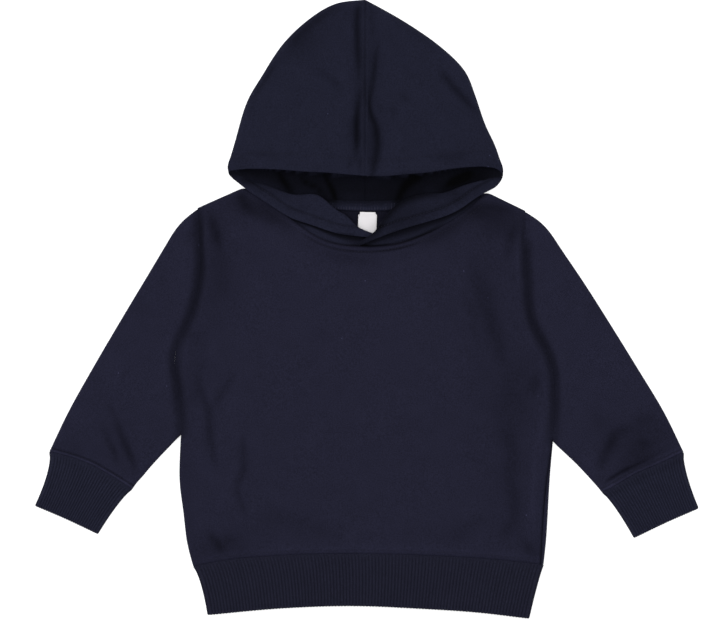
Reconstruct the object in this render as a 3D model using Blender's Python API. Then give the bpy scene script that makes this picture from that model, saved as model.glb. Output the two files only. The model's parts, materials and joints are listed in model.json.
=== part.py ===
"""Toddler's pullover hoodie, laid flat on its back with the sleeves spread.

Each piece that is cut and sewn is one closed solid: front, back, two sleeves, two rib cuffs, the rib
waistband, two hood panels and the label. A piece is a wall of cloth round a mid-surface. The tables below
are in millimetres in the garment's own frame: x runs from the centre seam to the right, y runs up from the
waistband's lower edge and z is the height above the surface that the garment lies on. At the end the whole
garment is centred on the origin, in metres.
"""

import math
from collections import namedtuple

import bpy
import numpy as np

MM = 0.001
SEAM_GAP = 0.3          # between two pieces that are sewn together
FLEECE = 2.0            # thickness of one layer of fleece
RIB = 2.8               # thickness of the doubled rib of cuffs and waistband
RIB_RELIEF = 0.3        # how far a rib stands out, and the groove beside it sinks
ROLL = 3.0              # width of the soft roll where a flattened tube turns over
FRONT_TOP = 4.6         # mid-surface height of a tube's upper layer
SEAM_TURN = 5.0         # degrees round a roll from its middle to a piece's edge, half of the seam's gap
SEAM_WEIGHT = 30.0      # how much more a seam's strip steers the walls beside it than their own faces do
UNDERARM_GAP = 1.2      # the sleeve stands further off where the armhole ends at the side's roll
UNDERARM_SHARE = 0.15   # share of the armhole that this takes
NECK_SIDE_GAP = 2.0     # the hood stands further off where the neckline meets the shoulder's roll
NECK_SIDE_REACH = 45.0
POINT_REACH = 8.0       # the wall thins this near to where the hood comes to a point
POINT_WALL = 1 / 3      # to this share of its thickness
CROWN_ROLL = 8.0        # width of the roll along the hood's outline
LAPEL_ROLL = 2.0        # width of the roll where the hood's lower edge turns over
ROLL_SHARE = 0.6        # a roll takes no more than this share of its layer
ROLL_RADIUS = 1.11      # and turns no tighter than this, so that its inner face doesn't cross itself
CREASE_ANGLE = 50.0     # degrees between faces that meet in a sharp edge
DRAWN_IN_HIGH = 0.7     # bands are drawn in most somewhat nearer to the seam than to the hem

# the body's left and right edges, from the waistband seam up the side and the armhole to the shoulder;
# "open" is 1 where front and back end at the armhole, and 0 where one turns over into the other
BodySection = namedtuple("BodySection", "left_x left_y right_x right_y open seam_on_front")
BODY_SECTIONS = (
    (-154.9, 44.8, 161.0, 46.0, 0, 3.0),
    (-160.6, 66.0, 163.5, 68.0, 0, 4.5),
    (-163.3, 90.0, 164.8, 90.0, 0, 4.5),
    (-167.5, 125.0, 166.7, 125.0, 0, 3.0),
    (-166.8, 146.0, 168.0, 143.0, 0, 1.5),
    (-165.2, 163.5, 168.6, 158.0, 1, 0.0),
    (-168.0, 202.0, 171.0, 197.0, 1, 0.0),
    (-171.0, 236.0, 167.5, 230.0, 1, 0.0),
    (-156.0, 273.0, 150.5, 266.0, 1, 0.0),
    (-148.5, 311.0, 146.0, 305.0, 1, 0.0),
    (-149.0, 342.0, 145.0, 339.0, 1, 0.0),
    (-150.5, 366.5, 144.0, 364.0, 1, 0.0),
)
WAIST_SEAM = (
    (-154.9, 44.8),
    (-120.0, 50.8),
    (-80.0, 54.2),
    (0.0, 55.8),
    (80.0, 53.2),
    (120.0, 50.4),
    (161.0, 46.0),
)
WAIST_HEM = ((-141.8, 0.8), (-70.0, 7.0), (-10.0, 8.8), (50.0, 6.3), (100.0, 3.0), (147.8, -2.6))
WAIST_DRAWN_IN = (2.3, 0.8)     # how far each side of the band curves inwards
FRONT_NECK = (
    (-109.0, 385.0),
    (-89.0, 373.0),
    (-67.5, 357.8),
    (-50.0, 346.0),
    (-31.0, 337.0),
    (-3.0, 333.0),
    (31.5, 337.0),
    (58.5, 345.8),
    (85.5, 361.0),
    (110.0, 380.5),
)
BACK_NECK = ((-109.0, 385.0), (-60.0, 372.0), (0.0, 367.0), (60.0, 371.0), (110.0, 380.5))
SHOULDER_SHARE = (0.13, 0.87)   # where the neckline lies along the body's upper edge

# sleeves, from the armhole to the cuff seam: outer edge (shoulder side) and inner edge (underarm side)
SleeveSection = namedtuple("SleeveSection", "outer_x outer_y inner_x inner_y")
LEFT_SLEEVE = (
    (-165.5, 355.0, -169.5, 159.2),
    (-180.5, 331.5, -177.0, 151.3),
    (-198.0, 302.5, -186.0, 141.7),
    (-221.8, 263.0, -194.0, 132.7),
    (-246.5, 221.0, -200.5, 124.8),
    (-267.2, 184.0, -205.5, 119.2),
)
RIGHT_SLEEVE = (
    (159.0, 354.5, 173.4, 152.7),
    (176.3, 330.3, 180.9, 145.6),
    (195.6, 302.1, 190.0, 136.8),
    (219.6, 264.6, 198.5, 127.8),
    (244.8, 224.1, 205.3, 120.2),
    (270.2, 182.1, 209.6, 115.4),
)
# each cuff's seam and its hem, from the outer side to the inner, and how far each side curves inwards
CUFFS = {
    "cuff_left": (
        ((-284.3, 148.2), (-269.8, 144.3), (-248.4, 136.9), (-227.1, 125.1), (-209.2, 114.0)),
        ((-297.3, 99.2), (-272.0, 88.4), (-240.3, 73.6)),
        (3.4, 2.1),
    ),
    "cuff_right": (
        ((287.0, 147.6), (265.8, 137.5), (243.3, 127.7), (224.6, 117.0), (213.0, 111.2)),
        ((300.5, 96.8), (272.5, 84.6), (242.0, 70.0)),
        (2.6, 2.0),
    ),
}
WAIST_RIBS = 103
CUFF_RIBS = 28

UNDERARM_ROW = 5        # row of BODY_SECTIONS where the armhole starts
ARMHOLE_STEPS = 11      # straight steps along an armhole
SIDE_STEPS = 6          # along the side below it
SLEEVE_STEPS = 9        # from armhole to cuff
BAND_STEPS = 4          # from a rib band's seam to its hem
WAIST_UNDER_STEPS = 30  # across the plain underside of the waistband
CUFF_UNDER_STEPS = 8    # and of a cuff
NECK_STEPS = 12         # along the front and back neckline
LAPEL_STEPS = 12        # sections of the hood's lower edge
BRIM_STEPS = 13         # sections of the hood above the face opening
LAYER_STEPS = 4         # across one layer of the hood, before its roll

# the hood's lower edge on each side, from centre front to the corner of the face opening: face edge, the
# line where it rolls over, the place on the neckline below it, and heights of edge, upper and lower layer
LapelSection = namedtuple("LapelSection", "edge_x edge_y roll_x roll_y neck_x neck_z edge_z upper lower")
LEFT_LAPEL = (
    (4.0, 340.8, 8.0, 343.2, 3.0, 4.3, 6.8, 6.8, 4.2),
    (-12.0, 342.4, -7.0, 349.5, -11.5, 4.5, 6.9, 7.0, 4.3),
    (-27.0, 344.8, -16.0, 358.8, -30.5, 4.5, 7.0, 7.2, 4.3),
    (-50.5, 352.8, -27.5, 366.0, -50.5, 4.5, 7.0, 7.3, 4.3),
    (-67.5, 358.6, -43.5, 378.6, -67.5, 4.5, 6.8, 7.2, 4.2),
    (-89.0, 372.2, -65.0, 378.4, -87.0, 4.5, 7.0, 7.0, 4.1),
    (-104.5, 382.3, -88.0, 386.6, -97.0, 4.3, 6.8, 6.8, 3.9),
    (-115.5, 391.0, -106.5, 391.0, -102.5, 4.0, 6.2, 6.4, 3.7),
)
RIGHT_LAPEL = (
    (-3.2, 334.2, -4.2, 336.0, -5.0, 9.4, 12.2, 12.2, 9.5),
    (10.0, 339.8, 9.0, 345.2, 8.0, 8.4, 11.6, 11.9, 9.3),
    (29.0, 346.8, 16.0, 355.5, 28.0, 4.9, 8.6, 8.8, 5.8),
    (52.0, 353.6, 31.5, 372.0, 51.5, 4.5, 7.0, 7.3, 4.4),
    (72.0, 359.8, 52.5, 379.0, 73.0, 4.5, 7.0, 7.3, 4.3),
    (86.0, 366.4, 71.0, 380.0, 85.5, 4.5, 7.0, 7.2, 4.2),
    (101.5, 377.3, 89.5, 387.0, 97.5, 4.3, 6.8, 6.8, 3.9),
    (119.0, 386.5, 107.5, 392.0, 103.0, 4.0, 6.2, 6.4, 3.7),
)
# where the hood's lower edge meets the part above the face opening: (x, y, z) of the face opening's
# corner, of the side of the neck, and of the pull that bends the curve between them
Corner = namedtuple("Corner", "opening pull neck_side")
LEFT_CORNER = Corner((-126.0, 399.5, 4.0), (-107.0, 400.5, 3.2), (-104.0, 389.0, 3.7))
RIGHT_CORNER = Corner((126.5, 397.5, 4.0), (108.5, 398.5, 3.2), (105.0, 386.5, 3.7))
# the hood above the face opening, from the corner to the centre seam: face edge, the outline where the
# upper layer turns over to the lower, the place on the back neckline, heights of edge and both layers
BrimSection = namedtuple("BrimSection", "edge_x edge_y outline_x outline_y neck_x edge_z upper lower")
LEFT_BRIM = (
    (-116.0, 401.7, -121.0, 413.0, -94.0, 6.0, 6.0, 2.2),
    (-105.5, 402.5, -116.3, 429.0, -88.0, 9.0, 8.0, 1.3),
    (-91.0, 402.4, -106.3, 462.5, -76.0, 11.5, 9.5, 1.0),
    (-73.0, 401.4, -92.7, 486.0, -61.0, 13.0, 10.5, 1.0),
    (-54.0, 399.8, -74.4, 514.3, -45.0, 14.0, 11.0, 1.0),
    (-35.0, 399.0, -51.8, 536.3, -29.0, 14.6, 11.3, 1.0),
    (-17.0, 397.4, -27.0, 551.3, -14.0, 15.0, 11.5, 1.0),
    (0.0, 396.0, 0.0, 555.0, 0.0, 15.0, 11.6, 1.0),
)
RIGHT_BRIM = (
    (118.0, 403.0, 121.5, 410.5, 95.0, 6.0, 6.0, 2.2),
    (107.0, 404.5, 116.5, 425.0, 88.0, 9.0, 8.0, 1.3),
    (92.5, 404.0, 107.2, 444.5, 76.0, 11.5, 9.5, 1.0),
    (74.5, 402.0, 98.6, 470.0, 61.0, 13.0, 10.5, 1.0),
    (56.0, 399.0, 88.7, 492.5, 45.0, 14.0, 11.0, 1.0),
    (36.0, 397.4, 65.3, 514.8, 29.0, 14.6, 11.3, 1.0),
    (18.0, 395.8, 33.6, 536.3, 14.0, 15.0, 11.5, 1.0),
    (0.0, 396.0, 0.0, 555.0, 0.0, 15.0, 11.6, 1.0),
)

# soft folds in the upper layer: a line from start to end, how wide it is, and its height (minus: a trough)
Fold = namedtuple("Fold", "start_x start_y end_x end_y width height")
FOLDS = (
    (95.0, 311.0, 122.0, 242.0, 14.0, -0.8),
    (134.0, 167.0, 136.0, 80.0, 12.0, -0.8),
    (-149.0, 213.0, -138.0, 140.0, 14.0, -0.8),
    (-113.0, 165.0, -107.0, 92.0, 12.0, -0.7),
    (-100.0, 378.0, -94.0, 361.0, 10.0, 0.8),
    (100.0, 372.0, 130.0, 362.0, 12.0, 0.7),
    (-231.0, 197.0, -211.0, 129.0, 12.0, -0.8),
    (216.0, 132.0, 226.0, 168.0, 10.0, -0.8),
    (-7.0, 533.0, -7.0, 484.0, 8.0, -1.2),
    (-7.0, 461.0, -7.0, 419.0, 8.0, -1.2),
    (9.0, 514.0, 6.0, 474.0, 9.0, -1.2),
    (13.0, 440.0, 9.0, 398.0, 10.0, -1.6),
    (74.0, 482.0, 103.0, 451.0, 12.0, -1.2),
)

LABEL_CENTRE = (2.1, 351.5)
LABEL_SIZE = (16.6, 24.0, 0.5)
LABEL_TILT = math.radians(-1.5)

NAVY = (0.016, 0.017, 0.033, 1.0)
NAVY_RIB = (0.013, 0.014, 0.026, 1.0)
WHITE = (0.75, 0.74, 0.75, 1.0)


# ---- curves and tables -------------------------------------------------------------------------------

def through(knots, rows, at):
    """The row that a smooth curve through `rows`, which stand at `knots`, has at `at`."""
    knots = np.asarray(knots, float)
    rows = np.asarray(rows, float)
    slopes = np.gradient(rows, knots, axis=0)
    at = min(max(at, knots[0]), knots[-1])
    i = min(int(np.searchsorted(knots, at, side="right")) - 1, len(knots) - 2)
    step = knots[i + 1] - knots[i]
    t = (at - knots[i]) / step
    ahead = t * t * (3 - 2 * t)
    leave = t * (1 - t) * (1 - t) * step
    arrive = t * t * (t - 1) * step
    return (1 - ahead) * rows[i] + ahead * rows[i + 1] + leave * slopes[i] + arrive * slopes[i + 1]


def curve(points):
    """A smooth curve through plan points, as a function of the share of its length from 0 to 1."""
    points = np.asarray(points, float)
    steps = np.linalg.norm(np.diff(points, axis=0), axis=1)
    knots = np.concatenate(([0.0], np.cumsum(steps))) / steps.sum()
    return lambda share: through(knots, points, share)


def patch(near, far, left, right):
    """A plan position (u across, v along) inside four edge curves that meet at their ends."""
    corners = near(0), near(1), far(0), far(1)

    def place(u, v):
        straight = ((1 - u) * (1 - v) * corners[0] + u * (1 - v) * corners[1]
                    + (1 - u) * v * corners[2] + u * v * corners[3])
        return (1 - v) * near(u) + v * far(u) + (1 - u) * left(v) + u * right(v) - straight

    return place


def relief(x, y):
    """Height of the soft folds at a place of the upper layer."""
    height = 0.0
    for fold in (Fold(*row) for row in FOLDS):
        run = np.array((fold.end_x - fold.start_x, fold.end_y - fold.start_y))
        offset = np.array((x - fold.start_x, y - fold.start_y))
        share = min(max(offset @ run / (run @ run), 0.0), 1.0)
        away = np.linalg.norm(offset - share * run)
        height += fold.height * math.exp(-((2 * away / fold.width) ** 2))
    return height


# ---- the mid-surface and its walls -------------------------------------------------------------------

class Surface:
    """A sewn mid-surface. Pieces share its points and normals, so walls beside a seam never cross."""

    def __init__(self):
        self.points = []
        self.places = {}
        self.faces = []
        self.raised = {}
        self.tips = []

    def vertex(self, point, raised=0.0):
        key = tuple(round(float(c), 4) for c in point)
        if key not in self.places:
            self.places[key] = len(self.points)
            self.points.append(np.array(key))
            self.raised[self.places[key]] = raised
        return self.places[key]

    def grid(self, piece, rows, closed=False, raised=None):
        """Faces between rows of points; piece None only steers the normals on either side of a seam."""
        heights = raised or [0.0] * len(rows[0])
        indices = [[self.vertex(p, h) for p, h in zip(row, heights)] for row in rows]
        for row, following in zip(indices, indices[1:]):
            count = len(row)
            for i in range(count if closed else count - 1):
                corners = (row[i], row[(i + 1) % count], following[(i + 1) % count], following[i])
                face = [c for k, c in enumerate(corners) if c != corners[k - 1]]
                if len(face) > 2:
                    self.faces.append((piece, face))

    def normals(self):
        points = np.array(self.points)
        normals = np.zeros_like(points)
        for piece, face in self.faces:
            middle = points[face].mean(axis=0)
            normal = sum(np.cross(points[a] - middle, points[b] - middle)
                         for a, b in zip(face, face[1:] + face[:1]))
            normal *= (1.0 if piece else SEAM_WEIGHT) / np.linalg.norm(normal)
            for corner in face:
                normals[corner] += normal
        return normals / np.linalg.norm(normals, axis=1)[:, None]

    def fullness(self, corner):
        """1 for a full wall, less near a tip where the cloth comes to a point."""
        reach = min([np.linalg.norm(self.points[corner] - tip) for tip in self.tips], default=POINT_REACH)
        return min(max(reach / POINT_REACH, POINT_WALL), 1.0)

    def solid(self, piece, wall, material):
        """The closed wall round the faces of one piece."""
        faces = [face for name, face in self.faces if name == piece]
        used = sorted({corner for face in faces for corner in face})
        local = {corner: i for i, corner in enumerate(used)}
        normals = self.normals()
        half = {c: wall / 2 * self.fullness(c) for c in used}
        outer = [self.points[c] + normals[c] * (half[c] + self.raised[c]) for c in used]
        inner = [self.points[c] - normals[c] * half[c] for c in used]
        shift = len(used)
        built = []
        edges = {}
        for face in faces:
            corners = [local[c] for c in face]
            built.append(corners)
            built.append([c + shift for c in reversed(corners)])
            for a, b in zip(corners, corners[1:] + corners[:1]):
                edges[(a, b)] = edges.get((a, b), 0) + 1
        for a, b in edges:
            if (b, a) not in edges:
                built.append([b, a, a + shift, b + shift])
        return add_object(piece, outer + inner, built, material)


def add_object(name, points, faces, material):
    mesh = bpy.data.meshes.new(name)
    mesh.from_pydata([[float(c) * MM for c in p] for p in points], [], faces)
    mesh.materials.append(material)
    mesh.shade_smooth()
    mesh.set_sharp_from_angle(angle=math.radians(CREASE_ANGLE))
    built = bpy.data.objects.new(name, mesh)
    bpy.context.scene.collection.objects.link(built)
    return built


def cloth_material(name, colour, roughness):
    material = bpy.data.materials.new(name)
    material.use_nodes = True
    shader = material.node_tree.nodes["Principled BSDF"]
    shader.inputs["Base Color"].default_value = colour
    shader.inputs["Roughness"].default_value = roughness
    shader.inputs["Metallic"].default_value = 0.0
    return material


# ---- flattened tubes: body, sleeves, cuffs and waistband ---------------------------------------------

HOLLOW = FRONT_TOP - FLEECE / 2 - FLEECE    # clear height between a tube's two layers
ROLL_HEIGHT = (FRONT_TOP - FLEECE / 2) / 2
TURNS = np.linspace(0, math.pi / 2, 33)
ROLL_LENGTHS = np.concatenate(([0.0], np.cumsum(np.hypot(
    np.diff(-ROLL * np.cos(TURNS)), np.diff(ROLL_HEIGHT * np.sin(TURNS))))))
ROLL_LENGTH = ROLL_LENGTHS[-1]


def half_girth(width):
    """Length of a flat tube's upper layer, from the turn at one side to the turn at the other."""
    return width + 2 * (ROLL_LENGTH - ROLL)


def on_tube(along, width):
    """(share across, lift) of a place `along` mm round a flat tube. The upper layer runs from 0 to its
    half girth; places before 0 or past it are on the underside. Lift is 1 on top and -1 below."""
    edge = min(along, half_girth(width) - along)
    turn = np.interp(abs(edge), ROLL_LENGTHS, TURNS)
    inset = ROLL * (1 - math.cos(turn)) + max(abs(edge) - ROLL_LENGTH, 0.0)
    lift = math.copysign(math.sin(turn), edge)
    share = inset / width
    return (share if along < half_girth(width) / 2 else 1 - share), lift


def layer_height(lift, top, bottom, x, y):
    """Mid-surface height between a flat tube's layers, with the soft folds on the upper one."""
    middle = (top + bottom) / 2
    if lift > 0:
        return middle + lift * (top - middle + relief(x, y))
    return middle + lift * (middle - bottom)


def beneath(along, width):
    """The place on the underside that lies below a place of the upper layer."""
    girth = half_girth(width)
    return -along if along < girth / 2 else 2 * girth - along


def even_ring(steps):
    """Places round a tube: three steps round each side's roll, and the layers evenly."""
    def ring(width):
        girth = half_girth(width)
        roll = [ROLL_LENGTH / 3, ROLL_LENGTH * 2 / 3]
        top = (roll + list(np.linspace(ROLL_LENGTH, girth - ROLL_LENGTH, steps + 1))
               + [girth - r for r in roll[::-1]])
        return [0.0] + top + [girth] + [beneath(a, width) for a in top[::-1]]
    return ring


def rib_ring(ribs, under):
    """Places round a rib tube: each rib's crest and groove on top, and a plain underside."""
    def ring(width):
        girth = half_girth(width)
        top = list(np.linspace(0, girth, 2 * ribs + 1))
        far_side = list(np.linspace(girth + ROLL_LENGTH, 1.5 * girth, under // 2 + 1))
        near_side = list(np.linspace(-girth / 2, -ROLL_LENGTH, under // 2 + 1))[1:]
        return (top + [girth + ROLL_LENGTH / 2] + far_side + near_side + [-ROLL_LENGTH / 2])
    return ring


def tube(name, place, steps, ring, wall, material, ribs=0):
    """One piece that goes all the way round, such as a sleeve or a cuff."""
    bottom = wall / 2
    top = bottom + wall + HOLLOW
    across, down = place(1, 0) - place(0, 0), place(0, 1) - place(0, 0)
    faces_up = across[0] * down[1] - across[1] * down[0] > 0
    rows = []
    for v in np.linspace(0, 1, steps + 1):
        width = np.linalg.norm(place(1, v) - place(0, v)) - wall
        inset = wall / 2 / (width + wall)
        row = []
        for along in ring(width):
            share, lift = on_tube(along, width)
            x, y = place(inset + share * (1 - 2 * inset), v)
            row.append((x, y, layer_height(lift, top, bottom, x, y)))
        rows.append(row if faces_up else row[::-1])
    raised = [0.0] * len(rows[0])
    for i in range(2 * ribs):
        raised[i] = RIB_RELIEF if i % 2 else -RIB_RELIEF
    surface = Surface()
    surface.grid(name, rows, closed=True, raised=raised if faces_up else raised[::-1])
    return surface.solid(name, wall, material)


def body_edge(side):
    """The body's left or right edge, from 0 at the waistband seam to 1 at the shoulder."""
    knots, table = body_edges()
    first = BodySection._fields.index(side + "_x")
    return lambda v: through(knots, table[:, first:first + 2], v)


def sleeve(side, table, material):
    edge, (knots, _) = body_edge(side), body_edges()
    outward = np.array((-1.0 if side == "left" else 1.0, 0.0))

    def armhole(share):
        gap = SEAM_GAP + UNDERARM_GAP * max(0.0, 1 - (1 - share) / UNDERARM_SHARE)
        return edge(1 - share * (1 - knots[UNDERARM_ROW])) + outward * gap

    cuff_seam = CUFFS["cuff_" + side][0]
    sections = [SleeveSection(*row) for row in table]
    outer = curve([armhole(0)] + [(s.outer_x, s.outer_y) for s in sections] + [cuff_seam[0]])
    inner = curve([armhole(1)] + [(s.inner_x, s.inner_y) for s in sections] + [cuff_seam[-1]])
    place = patch(armhole, curve(cuff_seam), outer, inner)
    return tube("sleeve_" + side, place, SLEEVE_STEPS, even_ring(ARMHOLE_STEPS), FLEECE, material)


def band_place(seam, hem, drawn_in, gap):
    """A band's plan place between its seam, moved a gap into the band, and its hem."""
    near, far = curve(seam), curve(hem)
    length = np.linalg.norm(far(0.5) - near(0.5))
    across = (near(1) - near(0)) / np.linalg.norm(near(1) - near(0))

    def place(u, v):
        share = (gap + v * (length - gap)) / length
        bow = 4 * share ** DRAWN_IN_HIGH * (1 - share ** DRAWN_IN_HIGH)
        inwards = across * bow * (drawn_in[0] * (1 - u) - drawn_in[1] * u)
        return near(u) + (far(u) - near(u)) * share + inwards

    return place


def body_edges():
    table = np.array(BODY_SECTIONS)
    middles = (table[:, 0:2] + table[:, 2:4]) / 2
    steps = np.linalg.norm(np.diff(middles, axis=0), axis=1)
    return np.concatenate(([0.0], np.cumsum(steps))) / steps.sum(), table


def upper_edge(neckline):
    """The body's upper edge from armhole to armhole: shoulder, neckline, shoulder."""
    neck = curve(neckline)
    left_corner, right_corner = np.array(BODY_SECTIONS[-1][0:2]), np.array(BODY_SECTIONS[-1][2:4])
    first, last = SHOULDER_SHARE

    def edge(share):
        if share <= first:
            return left_corner + (neck(0) - left_corner) * share / first
        if share >= last:
            return neck(1) + (right_corner - neck(1)) * (share - last) / (1 - last)
        return neck((share - first) / (last - first))

    return edge


def on_shoulder(share):
    first, last = SHOULDER_SHARE
    return share < first + 1e-6 or share > last - 1e-6


def body(material):
    """Front and back, from one surface that goes round the body and parts at the side seams."""
    knots, table = body_edges()
    left, right = body_edge("left"), body_edge("right")
    places = {name: patch(curve(WAIST_SEAM), upper_edge(neckline), left, right)
              for name, neckline in (("front", FRONT_NECK), ("back", BACK_NECK))}
    height = np.linalg.norm(left(1) - left(0))
    turns = np.radians((90, 60, 30, SEAM_TURN))
    underarm = knots[UNDERARM_ROW]
    end = ROLL / height
    stations = (list(np.linspace(SEAM_GAP / height, underarm, SIDE_STEPS + 1))[:-1]
                + list(np.linspace(underarm + end, 1 - end, ARMHOLE_STEPS + 1)))
    top_turns = [math.pi / 2] * len(stations) + list(turns[1:])
    stations += [1 - ROLL * (1 - math.cos(t)) / height for t in turns[1:]]
    gap = float(np.interp(math.radians(SEAM_TURN), TURNS, ROLL_LENGTHS))
    front, back, seams = [], [], ([], [])
    for v, turn in zip(stations, top_turns):
        section = BodySection(*(np.interp(v, knots, column) for column in table.T))
        opened, seam = section.open, section.seam_on_front
        width = np.linalg.norm(right(v) - left(v)) - (1 - opened) * FLEECE
        girth = half_girth(width)
        inset = (1 - opened) * FLEECE / 2 / (width + (1 - opened) * FLEECE)

        def point(name, along):
            share, lift = on_tube(along, width)
            side = 1 if name == "front" else -1
            lift = opened * side + (1 - opened) * lift
            share = inset + share * (1 - 2 * inset)
            if on_shoulder(share):
                lift *= math.sin(turn)
            x, y = places[name](share, v)
            return x, y, layer_height(lift, FRONT_TOP, FLEECE / 2, x, y)

        neck_sides = [(share - inset) / (1 - 2 * inset) * width + ROLL_LENGTH - ROLL
                      for share in SHOULDER_SHARE]
        roll = list(np.linspace(gap, ROLL_LENGTH, 4))
        far = ROLL_LENGTH + seam
        across = (list(np.linspace(ROLL_LENGTH, neck_sides[0], 4))
                  + list(np.linspace(*neck_sides, NECK_STEPS + 1))[1:]
                  + list(np.linspace(neck_sides[1], girth - far, 4))[1:])
        far_roll = list(np.linspace(girth - far, girth - seam - gap, 4))[1:]
        front.append([point("front", a) for a in roll[:-1] + across + far_roll])
        over = (list(np.linspace(girth - seam + gap, girth + gap, 3))[:-1]
                + list(np.linspace(girth + gap, girth + ROLL_LENGTH, 4)))
        under = [beneath(a, width) for a in across[-2:0:-1]] + [-r for r in roll[::-1]]
        back.append([point("back", a) for a in over + under])
        if opened < 0.5:
            seams[0].append([front[-1][-1], back[-1][0]])
            seams[1].append([back[-1][-1], front[-1][0]])
    surface = Surface()
    surface.grid("front", front)
    surface.grid("back", back)
    for seam_rows in seams:
        surface.grid(None, seam_rows)
    for shoulder in (roll[:-1] + across[:4], across[-4:] + far_roll):
        surface.grid(None, [[point("front", a) for a in shoulder],
                            [point("back", beneath(a, width)) for a in shoulder]])
    surface.solid("front", FLEECE, material)
    surface.solid("back", FLEECE, material)


# ---- hood --------------------------------------------------------------------------------------------

def layer(edge, turn, edge_z, layer_z, turn_z, roll, folds=0.0):
    """Points of one layer from its free edge to the line where it turns over, dense round the turn."""
    edge, turn = np.array(edge), np.array(turn)
    length = np.linalg.norm(turn - edge)
    roll = min(roll, ROLL_SHARE * length, (layer_z - turn_z) ** 2 / ROLL_RADIUS)
    points = []
    for share in np.linspace(0, 1, LAYER_STEPS + 1):
        rise = share * share * (3 - 2 * share)
        x, y = edge + (turn - edge) * share * (1 - roll / length)
        points.append((x, y, edge_z + (layer_z - edge_z) * rise + folds * relief(x, y)))
    for angle in np.radians((60, 30, 0)):
        x, y = turn - (turn - edge) * roll / length * (1 - math.cos(angle))
        points.append((x, y, turn_z + (layer_z - turn_z) * math.sin(angle)))
    return points


def hood_side(lapel, brim, corner, front_neck, back_neck, centre_x):
    """Sections of one hood panel from centre front to the centre seam, as rows of points in two parts:
    (upper, lower) below the face opening's corner and (upper, lower) above it."""
    opening, pull, neck_side = np.array(corner)
    joint = [(1 - s) ** 2 * opening + 2 * s * (1 - s) * pull + s * s * neck_side
             for s in np.linspace(0, 1, LAYER_STEPS + 4)]
    below, above = [], []
    knots = np.arange(len(lapel))
    for at in np.linspace(0, len(lapel) - 1, LAPEL_STEPS):
        row = LapelSection(*through(knots, lapel, at))
        middle = (row.upper + row.lower) / 2
        roll_line = (row.roll_x, row.roll_y)
        neck = (row.neck_x, front_neck(row.neck_x))
        out = layer((row.edge_x, row.edge_y), roll_line, row.edge_z, row.upper, middle, LAPEL_ROLL)
        home = layer(neck, roll_line, row.neck_z, row.lower, middle, LAPEL_ROLL)
        below.append((out, home[::-1]))
    below.append((joint, [neck_side] * len(joint)))
    above.append(([opening] * len(joint), joint))
    knots = np.arange(len(brim))
    for at in np.linspace(0, len(brim) - 1, BRIM_STEPS):
        row = BrimSection(*through(knots, brim, at))
        if at == len(brim) - 1:
            row = row._replace(edge_x=centre_x, outline_x=centre_x, neck_x=centre_x)
        outline = np.array((row.outline_x, row.outline_y))
        inward = np.array((row.edge_x, row.edge_y)) - outline
        turn = outline + inward / np.linalg.norm(inward) * FLEECE / 2
        middle = (row.upper + row.lower) / 2
        neck = (row.neck_x, back_neck(row.neck_x))
        over = layer((row.edge_x, row.edge_y), turn, row.edge_z, row.upper, middle, CROWN_ROLL, folds=1.0)
        under = layer(neck, turn, row.lower, row.lower, middle, CROWN_ROLL)
        above.append((over, under[::-1]))
    return below, above


def neckline_height(points):
    """Where the hood's edge lies above the body's neckline, over a place across."""
    line = np.array([curve(points)(share) for share in np.linspace(0, 1, NECK_STEPS + 1)])

    def height(x):
        to_side = min(x - line[0, 0], line[-1, 0] - x) / NECK_SIDE_REACH
        gap = SEAM_GAP + NECK_SIDE_GAP * max(1 - to_side, 0.0)
        return float(np.interp(x, line[:, 0], line[:, 1])) + gap

    return height


def hood(material):
    front_neck, back_neck = neckline_height(FRONT_NECK), neckline_height(BACK_NECK)
    surface = Surface()
    ends = []
    for name, lapel, brim, corner, side in (
        ("hood_left", LEFT_LAPEL, LEFT_BRIM, LEFT_CORNER, -1),
        ("hood_right", RIGHT_LAPEL, RIGHT_BRIM, RIGHT_CORNER, 1),
    ):
        below, above = hood_side(lapel, brim, corner, front_neck, back_neck, side * SEAM_GAP / 2)
        for sections in (below, above):
            for part in (0, 1):
                rows = [section[part] for section in sections]
                surface.grid(name, rows if side > 0 else [row[::-1] for row in rows])
        ends.append(above[-1])
        surface.tips += [np.array(corner.opening), np.array(corner.neck_side)]
    for part in (0, 1):
        surface.grid(None, [ends[0][part][::-1], ends[1][part][::-1]])
    surface.solid("hood_left", FLEECE, material)
    surface.solid("hood_right", FLEECE, material)


def label(material):
    width, length, thickness = LABEL_SIZE
    bottom = FLEECE + SEAM_GAP
    across = np.array((math.cos(LABEL_TILT), math.sin(LABEL_TILT)))
    along = np.array((-across[1], across[0]))
    points = []
    for z in (bottom, bottom + thickness):
        for sign_x, sign_y in ((-1, -1), (1, -1), (1, 1), (-1, 1)):
            x, y = np.array(LABEL_CENTRE) + across * sign_x * width / 2 + along * sign_y * length / 2
            points.append((x, y, z))
    faces = [(3, 2, 1, 0), (4, 5, 6, 7), (0, 1, 5, 4), (1, 2, 6, 5), (2, 3, 7, 6), (3, 0, 4, 7)]
    add_object("label", points, faces, material)


def stand_on_origin():
    """Centres the garment over the origin, with its underside on z = 0."""
    built = [o for o in bpy.context.scene.objects if o.type == "MESH"]
    points = np.array([v.co for o in built for v in o.data.vertices])
    low, high = points.min(axis=0), points.max(axis=0)
    for o in built:
        o.location = (-(low[0] + high[0]) / 2, -(low[1] + high[1]) / 2, -low[2])


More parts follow.
